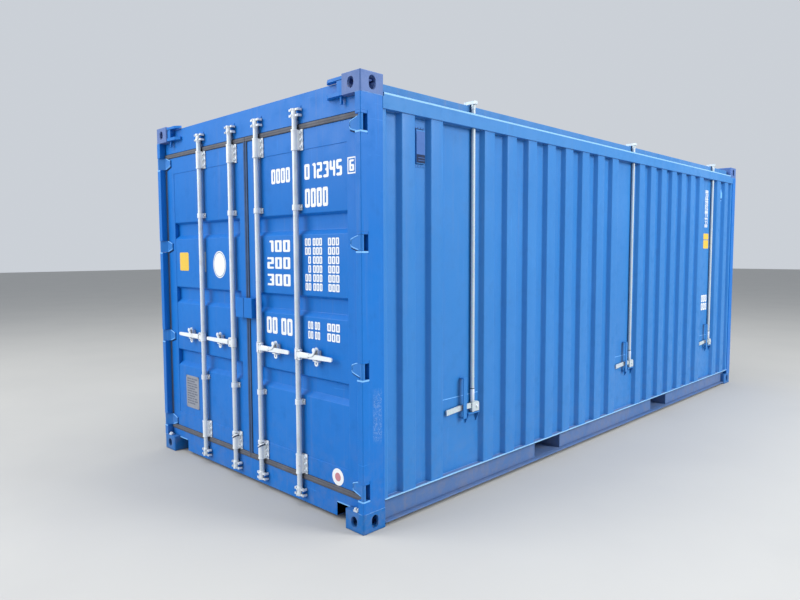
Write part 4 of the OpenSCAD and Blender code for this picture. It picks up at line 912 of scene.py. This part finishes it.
def digits(shape, text, x0, x1, z0, z1, face, side=False):
    """Plain block numerals that fill a rectangle on a face towards -Y, or with side on one towards +X."""
    def point(x, z, t):
        return (face + MARK_CLEAR - t, x, z) if side else (x, face - MARK_CLEAR + t, z)

    places = [SPACE_W if c == " " else 1 for c in text]
    pitch = (x1 - x0) / (sum(places) - NUMERAL_GAP)
    for c, share in zip(text, places):
        if c != " ":
            numeral(shape, NUMERALS[int(c)], x0, x0 + pitch * (1 - NUMERAL_GAP), z0, z1, point)
        x0 += pitch * share


def column(shape, face, texts, x0, x1, top, height, pitch=0.0, side=False):
    """Texts under one another, a pitch apart, the first one with its top at the given height."""
    for k, text in enumerate(texts):
        z1 = top - k * pitch
        digits(shape, text, x0, x1, z1 - height, z1, face, side)


def flat_mark(shape, outline, face, lift=0.0):
    """A thin film with the given (x, z) outline on a face that looks towards -Y."""
    front = face - MARK_CLEAR - lift
    shape.bar(outline, front, front + MARK_T)


def film_piece(name, door, material, outlines, face, lift=0.0):
    """One piece of films on a door."""
    shape = Shape()
    for outline in outlines:
        flat_mark(shape, outline, face, lift)
    shape.piece(name, material, "door_paint", door)


def oval(x, z, a, b):
    return [(x + u, z + v) for u, v in circle(a, b, 40)]


def soft_box(x0, x1, z0, z1, r, steps=4):
    """The outline of a rectangle with rounded corners."""
    out = []
    for x, z, start in ((x1 - r, z1 - r, 0), (x0 + r, z1 - r, 90), (x0 + r, z0 + r, 180),
                        (x1 - r, z0 + r, 270)):
        for k in range(steps + 1):
            a = math.radians(start + 90 * k / steps)
            out.append((x + r * math.cos(a), z + r * math.sin(a)))
    return out


def border(x0, x1, z0, z1, width, gap, r):
    """The outlines of four bars round a rectangle; the upright ones stop gap short of its ends."""
    return [soft_box(x0, x1, z0, z0 + width, r), soft_box(x0, x1, z1 - width, z1, r),
            soft_box(x0, x0 + width, z0 + gap, z1 - gap, r), soft_box(x1 - width, x1, z0 + gap, z1 - gap, r)]


def side_panel(shape, face, s, box, rise=MARK_CLEAR, thick=MARK_T, corner=0.002):
    """A thin panel (y0, y1, z0, z1) on a face that looks towards +X or -X."""
    outline = soft_box(*box, corner)
    shape.loft([[(face + s * out, y, z) for y, z in outline] for out in (rise, rise - thick)])


# Columns of numerals on the right door: texts, x0, x1, top, height, pitch
TABLE_TOP, TABLE_PITCH = 1.69, 0.328 / 6
ROW_H = 0.84 * TABLE_PITCH
RIGHT_DOOR_COLUMNS = (
    (("012345",), 0.648, 1.000, 2.138, 0.093),
    (("0000",), 0.296, 0.498, 2.138, 0.093),
    (("0000",), 0.65, 0.871, 1.99, 0.113),
    (("00 000",) * 2, 0.643, 0.809, TABLE_TOP, ROW_H, TABLE_PITCH),
    (("0 000",) * 2, 0.674, 0.809, TABLE_TOP - 2 * TABLE_PITCH, ROW_H, TABLE_PITCH),
    (("00 000",) * 2, 0.643, 0.809, TABLE_TOP - 4 * TABLE_PITCH, ROW_H, TABLE_PITCH),
    (("000",) * 6, 0.866, 0.967, TABLE_TOP, ROW_H, TABLE_PITCH),
    (("100", "200", "300"), 0.232, 0.487, TABLE_TOP - 0.12 * TABLE_PITCH, 1.38 * TABLE_PITCH,
     2 * TABLE_PITCH),
    (("00 00",) * 2, 0.664, 0.78, 1.181, 0.048, 0.06),
    (("000",) * 2, 0.85, 0.966, 1.181, 0.048, 0.06),
    (("00 00",), 0.214, 0.5, 1.181, 0.109))
LAST_NUMERAL = (1.068, 1.108, 2.06, 2.124)
LAST_NUMERAL_BORDER = (1.052, 1.124, 2.045, 2.139)
DISC_AT, DISC_R, DISC_CENTRE_R = (0.938, 0.262), 0.052, 0.026


def right_door_marks():
    """Generic numerals in the rows where such a door has its markings, and a round mark."""
    shape = Shape()
    for texts, *place in RIGHT_DOOR_COLUMNS:
        column(shape, DOOR_FACE, texts, *place)
    digits(shape, "6", *LAST_NUMERAL, FRAME_FACE)
    for outline in border(*LAST_NUMERAL_BORDER, width=0.008, gap=0.008, r=0.001):
        flat_mark(shape, outline, FRAME_FACE)
    shape.piece("right_door_numerals", WHITE, "door_paint", "right_door")
    film_piece("right_door_disc", "right_door", WHITE, [oval(*DISC_AT, DISC_R, DISC_R)], FRAME_FACE)
    film_piece("right_door_disc_centre", "right_door", RED, [oval(*DISC_AT, DISC_CENTRE_R, DISC_CENTRE_R)],
               FRAME_FACE, lift=MARK_T)


OVAL_AT = (-0.38, 1.519)
OVAL, OVAL_RING = (0.088, 0.098), ((0.081, 0.091), (0.076, 0.085))
FAINT_BARS_X, FAINT_BARS_PITCH = (-0.664, -0.642), 0.034
PATCH = (-0.984, -0.842, 1.466, 1.608)


def left_door_marks():
    """A bare oval film with a faint ring, faint bars beside it and a bare patch."""
    film_piece("left_door_oval", "left_door", WHITE, [oval(*OVAL_AT, *OVAL)], DOOR_FACE)
    faint = Shape()
    outer, inner = (oval(*OVAL_AT, *size) for size in OVAL_RING)
    faint.grid([[(x, DOOR_FACE - MARK_CLEAR - t, z) for x, z in line]
                for line, t in ((outer, 0), (outer, MARK_T), (inner, MARK_T), (inner, 0))], closed=True)
    for k in range(3):
        x0, x1 = (x + k * FAINT_BARS_PITCH for x in FAINT_BARS_X)
        flat_mark(faint, soft_box(x0, x1, 1.462, 1.612, 0.002), DOOR_FACE)
    faint.piece("left_door_faint_marks", PALE_GREY, "door_paint", "left_door")
    film_piece("left_door_patch", "left_door", YELLOW, [soft_box(*PATCH, 0.014)], DOOR_FACE)


PLATE_BOX = (-0.932, -0.732, 0.384, 0.64)
PLATE_LIFT, PRINT_LIFT = 0.001, 0.0017
PRINT_WIDTHS = ((0.06, 0.034, 0.046), (0.022, 0.088), (0.072, 0.02, 0.04))


def left_door_plate():
    """A riveted plate with a rim and bare rows in place of its print."""
    x0, x1, z0, z1 = PLATE_BOX
    shape = Shape()
    flat_mark(shape, soft_box(*PLATE_BOX, 0.006), DOOR_FACE, PLATE_LIFT)
    for outline in border(*PLATE_BOX, width=0.009, gap=0, r=0.003):
        flat_mark(shape, outline, DOOR_FACE, PRINT_LIFT)
    for x in (x0 + 0.02, x1 - 0.02):
        for z in (z0 + 0.02, z1 - 0.02):
            rivet(shape, (x, DOOR_FACE - MARK_CLEAR - PLATE_LIFT, z), -Y, 0.0045)
    shape.piece("left_door_plate", PLATE, "door_paint", "left_door")
    prints = []
    for row in range(11):
        z = z1 - 0.03 - row * 0.0195
        x = x0 + 0.018
        for width in PRINT_WIDTHS[row % 3]:
            prints.append(soft_box(x, x + width, z, z + 0.01, 0.001))
            x += width + 0.008
    film_piece("left_door_plate_rows", "left_door", GREY, prints, DOOR_FACE, PRINT_LIFT)


def side_marks():
    """A bare yellow label with small numerals above and below it, in the last flat of the right side."""
    y0, y1 = LAST_FLAT_Y
    flat = min(x for y, x in fold_line("side_wall_right") if y0 < y < y1)
    label = Shape()
    for z0, z1 in ((1.634, 1.728), (1.736, 1.802)):
        side_panel(label, flat, 1, (2.155, 2.305, z0, z1), corner=0.006)
    label.piece("side_yellow_label", YELLOW, "wall_paint")
    marks = Shape()
    column(marks, flat, [str(k * 3 % 10) * 2 for k in range(11)], 2.178, 2.262, top=2.284, height=0.032,
           pitch=0.038, side=True)
    column(marks, flat, ("000", "000"), 2.14, 2.3, top=1.11, height=0.078, pitch=0.092, side=True)
    marks.piece("side_numerals", WHITE, "wall_paint")


# Small hardware

def vent_details():
    """Dark panels of painted shade round each vent hood's mouth, louvres in the lower one, the hood's paler front
    and rivets.
    """
    dark, front, metal = Shape(), Shape(), Shape()
    for low, high in solids("vents"):
        s = 1 if low.x > 0 else -1
        face, plate = (high.x, low.x + 0.002) if s > 0 else (low.x, high.x - 0.002)
        out = abs(face - plate)
        y0, y1, z0, z1 = low.y + 0.01, high.y - 0.01, low.z + 0.026, high.z - 0.026
        for z in (low.z + 0.008, high.z - 0.008):
            for k in range(4):
                y = low.y + 0.012 + k * (high.y - low.y - 0.024) / 3
                rivet(metal, (plate, y, z), X * s, 0.0045)
        # Painted shade: dark panels on the hood's lower front, beside it, on its side and above it
        side_panel(dark, face, s, (y0, y1, z0, z0 + 0.05))
        side_panel(dark, plate, s, (low.y + 0.0005, y0 - 0.0002, z0 - 0.004, z1 + 0.006))
        side_panel(dark, plate, s, (y0 - 0.0002, y1, z1 + 0.0002, z1 + 0.012))
        side_panel(front, face, s, (y0 + 0.001, y1 - 0.001, z0 + 0.051, z1 - 0.004))
        cheek = ((0.001, z0), (out, z0), (out, z1 - 0.022), (0.001, z1 - 0.022))
        dark.bar([(plate + s * u, z) for u, z in cheek], y0 - MARK_T, y0 + MARK_T)
        for z in (z0 + 0.014, z0 + 0.03):
            louvre = (y0 + 0.014, y1 - 0.004, z, z + 0.003)
            side_panel(front, face, s, louvre, rise=0.0016, thick=0.0022, corner=0.001)
    dark.piece("vent_mouths", DARK_SHADE, "wall_paint")
    front.piece("vent_fronts", VENT_PAINT, "wall_paint")
    metal.piece("vent_rivets", VENT_PAINT, "wall_paint")


def far_vents():
    """A small vent near the top of the last recess on each side: a plate, a sloping hood and rivets, pale as a
    painted highlight, and painted shade in its mouth.
    """
    hood, dark = Shape(), Shape()
    z0, z1, edge = 2.186, 2.322, 0.006
    slope = ((z0 + 0.03, 0.01), (z0 + 0.036, 0.014), (z1 - 0.04, 0.014), (z1 - 0.016, 0.003))
    for side, s in SIDES.items():
        inside = [(y, x) for y, x in fold_line(f"side_wall_{side}") if FAR_VENT_Y[0] < y < FAR_VENT_Y[1]]
        back = min((x for y, x in inside), key=abs)
        ys = sorted(y for y, x in inside if abs(x - back) < 1e-4)
        y0, y1 = ys[0] + edge, ys[-1] - edge
        side_panel(hood, back, s, (y0, y1, z0, z1), rise=0.0024, thick=0.0022, corner=0.004)
        rows = []
        for z, out in slope:
            section = ((y0 + 0.006, 0.002), (y0 + 0.006, out - 0.001), (y0 + 0.009, out),
                       (y1 - 0.009, out), (y1 - 0.006, out - 0.001), (y1 - 0.006, 0.002))
            rows.append([(back + s * u, y, z) for y, u in section])
        hood.loft(rows)
        # Painted shade: a dark strip in the mouth under the hood
        side_panel(dark, back, s, (y0 + 0.006, y1 - 0.006, z0 + 0.014, z0 + 0.029), rise=0.003)
        for y in (y0 + 0.005, y1 - 0.005):
            for z in (z0 + 0.007, z1 - 0.007):
                rivet(hood, (back + s * 0.002, y, z), X * s, 0.0035)
    hood.piece("far_vent_hoods", HIGHLIGHT_PAINT, "wall_paint")
    dark.piece("far_vent_mouths", DARK_SHADE, "wall_paint")


ROD_SLEEVE = ((0.0134, 0.07), (0.0146, 0.072), (0.0146, 0.155), (0.0134, 0.157))
ROD_RING = ((0.0134, 0.1572), (0.0152, 0.158), (0.0152, 0.1625), (0.0134, 0.1635))


def roof_rod_details():
    """A sleeve and a dark ring of painted shade above each roof rod's hub, a bolt in the hub and a weld on the
    wall behind, pale as a painted highlight.
    """
    welds = Shape()
    for side, s, place in ROOF_RODS:
        low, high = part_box(f"roof_rod_{side}_{place}")
        x, y = s * (HALF_W - LIFT_E), high.y - LIFT_HUB_L
        sleeve, ring = Shape(), Shape()
        sleeve.lathe(ROD_SLEEVE, (x, y, low.z))
        bolt(sleeve, (x + s * 0.013, y + 0.032, low.z + 0.036), X * s, 0.0085, turn=y)
        # Painted shade: the dark ring stands for the shaded gap above the hub
        ring.lathe(ROD_RING, (x, y, low.z))
        body = f"roof_lift_{side}_{place}"
        sleeve.piece(f"roof_rod_sleeve_{side}_{place}", ZINC, "zinc", body)
        ring.piece(f"roof_rod_ring_{side}_{place}", DARK_SHADE, "zinc", body)
        flat = min((v for u, v in fold_line(f"side_wall_{side}") if abs(u - y) < 0.35), key=abs)
        start = Vector((flat + s * 0.0002, y - 0.29, low.z + 0.122))
        # Painted highlight: the weld is laid in a paler blue
        welds.tube(run(start, start + Y * 0.366), 0.0026, sides=6, ripple=0.2)
    welds.piece("wall_welds", HIGHLIGHT_PAINT, "wall_paint", sharp=60)


def sweep(points, widths, thick, up):
    """Rows of a flat bar along points, with its broad side towards up."""
    rows = []
    for i, p in enumerate(points):
        along = (points[min(i + 1, len(points) - 1)] - points[max(i - 1, 0)]).normalized()
        out = along.cross(up).normalized() * widths[i] / 2
        lift = up * thick / 2
        rows.append([p + out * 0.8 + lift, p + out + lift * 0.4, p + out - lift, p - out - lift,
                     p - out + lift * 0.4, p - out * 0.8 + lift])
    return rows


LATCH_D = HANDLE_D - 0.003
LATCH_STUD = ((0.0085, LATCH_D - CATCH_D), (0.0085, -0.0035), (0.014, -0.003), (0.0145, 0.0026),
              (0.0105, 0.0038), (0.006, 0.0042))


def catch_latches(side, s):
    """A curved latch on a stud in the upper lobe of each catch, over the front of its handle."""
    shape = Shape()
    steps, drop, reach = 10, 0.04, 0.066
    for low, high in solids(f"{side}_handle_catches"):
        top = Vector(((low.x + high.x) / 2, -HALF_L + LATCH_D, high.z - 0.017))
        knee, end = top + Vector((-s * 0.002, 0, -drop)), top + Vector((-s * reach, 0, -drop))
        path = [top.lerp(knee, t).lerp(knee.lerp(end, t), t) for t in (k / steps for k in range(steps + 1))]
        widths = [0.019 - 0.0008 * k for k in range(steps + 1)]
        shape.loft(sweep(path, widths, 0.0045, -Y))
        shape.lathe(LATCH_STUD, facing(top, -Y))
    shape.piece(f"{side}_catch_latches", CAST_ZINC, "zinc", f"{side}_door")


BRACKET_COLLAR = ((0.0205, -0.02), (0.0225, -0.016), (0.0225, 0.02), (0.021, 0.03), (0.0185, 0.036))
BAND_TILT = math.radians(-30)


def bracket_bands(side):
    """A slanted band round the lower bracket of the middle rod, with dark lines of painted shade beside it."""
    boxes = [b for b in solids(f"{side}_rod_brackets") if b[1].z - b[0].z > LARGE_BRACKET_H]
    low, high = min(boxes, key=lambda b: (round(b[0].z, 2), abs(b[0].x + BRACKET_R)))
    middle = Vector((low.x + LARGE_R, low.y + LARGE_R, high.z - 0.034))
    tilt = Matrix.Translation(middle) @ Matrix.Rotation(BAND_TILT, 4, "Y")
    # The two thin dark rings are painted shade beside the band
    band, gap, collar = Shape(), Shape(), Shape()
    for shape, wide, deep, h, thick in ((band, 0.029, 0.0195, 0.0, 0.0052),
                                        (gap, 0.0295, 0.0208, -0.009, 0.0036),
                                        (gap, 0.0285, 0.0208, 0.008, 0.0028)):
        ring = [tilt @ Vector((u, v, h)) for u, v in circle(wide, deep, 32)]
        shape.tube([p for p in ring + ring[:1] if p.y < middle.y + 0.012], thick)
    collar.lathe(BRACKET_COLLAR, middle, 28)
    band.piece(f"{side}_bracket_band", CAST_ZINC, "zinc", f"{side}_door")
    gap.piece(f"{side}_bracket_gap", DARK_SHADE, "zinc", f"{side}_door")
    collar.piece(f"{side}_bracket_collar", CAST_ZINC, "zinc", f"{side}_door")


def keeper_hooks():
    """The fixed hooks beside each cam, on the side that its horns never turn to."""
    for node in ("header_keepers", "sill_keepers"):
        shape = Shape()
        for low, high in solids(node):
            x, z = (low.x + high.x) / 2, (low.z + high.z) / 2
            s = -1 if x > 0 else 1
            for near, far in ((0.0285, 0.047), (-0.0385, -0.047)):
                for hook_z in (z - 0.0175, z + 0.0175):
                    shape.slab((x + s * near, -HALF_L + 0.014, hook_z - 0.0065),
                               (x + s * far, high.y - 0.001, hook_z + 0.0065), 0.004)
        shape.piece(node.replace("keepers", "hooks"), CAST_ZINC, "frame_paint")


# A handle's sleeve: (distance from the rod's axis, half its height); a ring on the rod: (radius, height)
HANDLE_SLEEVE = ((0.046, 0.0215), (0.075, 0.0195), (0.118, 0.018), (0.128, 0.015))
DOOR_ROD_RING = ((0.0172, -0.003), (0.019, -0.0015), (0.019, 0.0015), (0.0172, 0.003))


def handle_rivets(n):
    """Rivets on the clamp of a handle, a sleeve beside it and a ring on the rod above and below it."""
    x, y, _ = JOINT_AT[f"door_rod_{n}_turn"]
    s = 1 if x > 0 else -1
    low, high = max(solids(f"lock_gear_{n}"), key=lambda box: box[1].x - box[0].x)
    middle = (low.z + high.z) / 2
    shape = Shape()
    for dx in (0.012, 0.031):
        for dz in (-0.021, 0.021):
            rivet(shape, (x + s * dx, low.y + 0.0002, middle + dz), -Y, 0.0052)
    rows = []
    for u, half in HANDLE_SLEEVE:
        section = ((0.0012, half - 0.004), (-0.0022, half - 0.009), (-0.0022, 0.009 - half),
                   (0.0012, 0.004 - half), (0.01, 0.004 - half), (0.01, half - 0.004))
        rows.append([(x + s * u, low.y + v, middle + w) for v, w in section])
    shape.loft(rows)
    for z in (low.z - 0.004, high.z + 0.004):
        shape.lathe(DOOR_ROD_RING, (x, y, z), 22)
    shape.piece(f"handle_rivets_{n}", CAST_ZINC, "zinc", f"door_rod_{n}")


def fitting_lumps():
    """The small galvanised pads on top of the lower fittings at the doors."""
    _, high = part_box("bottom_fittings_rear")
    shape = Shape()
    for s in SIDES.values():
        x = s * 1.143
        base = Vector((x - 0.02, -HALF_L + 0.003, high.z))
        shape.slab(base, base + Vector((0.04, 0.03, 0.009)), 0.004)
        for dx, r in ((-0.01, 0.01), (0.011, 0.008)):
            knob = ((r, 0.007), (r, 0.014), (r * 0.75, 0.019), (r * 0.3, 0.021))
            shape.lathe(knob, (x + dx, base.y + 0.015, high.z), 14)
    shape.piece("fitting_pads", ZINC, "zinc")


# Assembly

def dress_nodes():
    """Paints every CAD node that stays and rounds its edges."""
    for name, obj in NODES.items():
        slot = NODE_SLOT[name]
        obj.data.materials.clear()
        obj.data.materials.append(NODE_FINISH.get(name, SLOT_PAINT[slot]))
        if slot in SLOT_EDGE and not obj.hide_render and name not in SHARP_NODES:
            soften(obj, OWN_EDGE.get(name, SLOT_EDGE[slot]))


def ground():
    size = 60
    mesh = bpy.data.meshes.new("floor")
    mesh.from_pydata([(-size, -size, 0), (size, -size, 0), (size, size, 0), (-size, size, 0)], [],
                     [(0, 1, 2, 3)])
    obj = add_object("floor", mesh)
    s = Surface("studio_floor", (0.42, 0.42, 0.41), 0.85, specular=0.2)
    s.patches((0.38, 0.38, 0.38), 0.3, (0.4, 0.7), scale=0.8, detail=4)
    mesh.materials.append(s.done())


# Area lamps: name, place, target, power, width
LAMPS = (("key", (-5.0, -11.2, 6.9), (0, -3.0, 1.2), 1190, 8.5),
         ("side", (11.5, 3.5, 7.5), (1.2, 0.5, 1.2), 1450, 5.5),
         ("sky", (1.0, -1.0, 9.5), (0.6, -1.0, 0), 750, 9.0))


def light():
    world = bpy.data.worlds.new("studio")
    bpy.context.scene.world = world
    world.use_nodes = True
    back = world.node_tree.nodes["Background"]
    back.inputs["Color"].default_value = (0.88, 0.93, 1.0, 1)
    back.inputs["Strength"].default_value = 0.68
    for name, at, target, power, width in LAMPS:
        lamp = bpy.data.lights.new(name, "AREA")
        lamp.energy = power
        lamp.size = width
        lamp.color = (1.0, 0.99, 0.97)
        obj = add_object(name, lamp)
        obj.location = at
        obj.rotation_mode = "QUATERNION"
        obj.rotation_quaternion = (Vector(target) - Vector(at)).to_track_quat("-Z", "Y")


def camera():
    """The photograph's camera, fitted to six corners of the container."""
    focal_px, image_w, sensor = 647.67, 800, 36.0
    azimuth, pitch, roll = -0.778386, -0.0728593, -0.0037447
    data = bpy.data.cameras.new("camera")
    data.sensor_width = sensor
    data.lens = focal_px / image_w * sensor
    obj = add_object("camera", data)
    turn = (Matrix.Rotation(-azimuth, 4, "Z") @ Matrix.Rotation(math.pi / 2 + pitch, 4, "X")
            @ Matrix.Rotation(roll, 4, "Z"))
    obj.matrix_world = Matrix.Translation((3.86702, -5.41532, 1.60002)) @ turn
    bpy.context.scene.camera = obj


bpy.context.scene.view_settings.view_transform = "Standard"
camera()
ground()
light()
walls_and_roof()
floor()
for side, s in SIDES.items():
    door_bolts(side)
    hinge_rims(side, s)
    seal_strips(side, s)
    catch_latches(side, s)
    bracket_bands(side)
hinge_details()
keeper_hooks()
for n in range(1, 5):
    handle_rivets(n)
frame_welds()
edge_strips()
rail_plugs()
sill_lips()
fitting_lumps()
vent_details()
far_vents()
roof_rod_details()
right_door_marks()
left_door_marks()
left_door_plate()
side_marks()
dress_nodes()
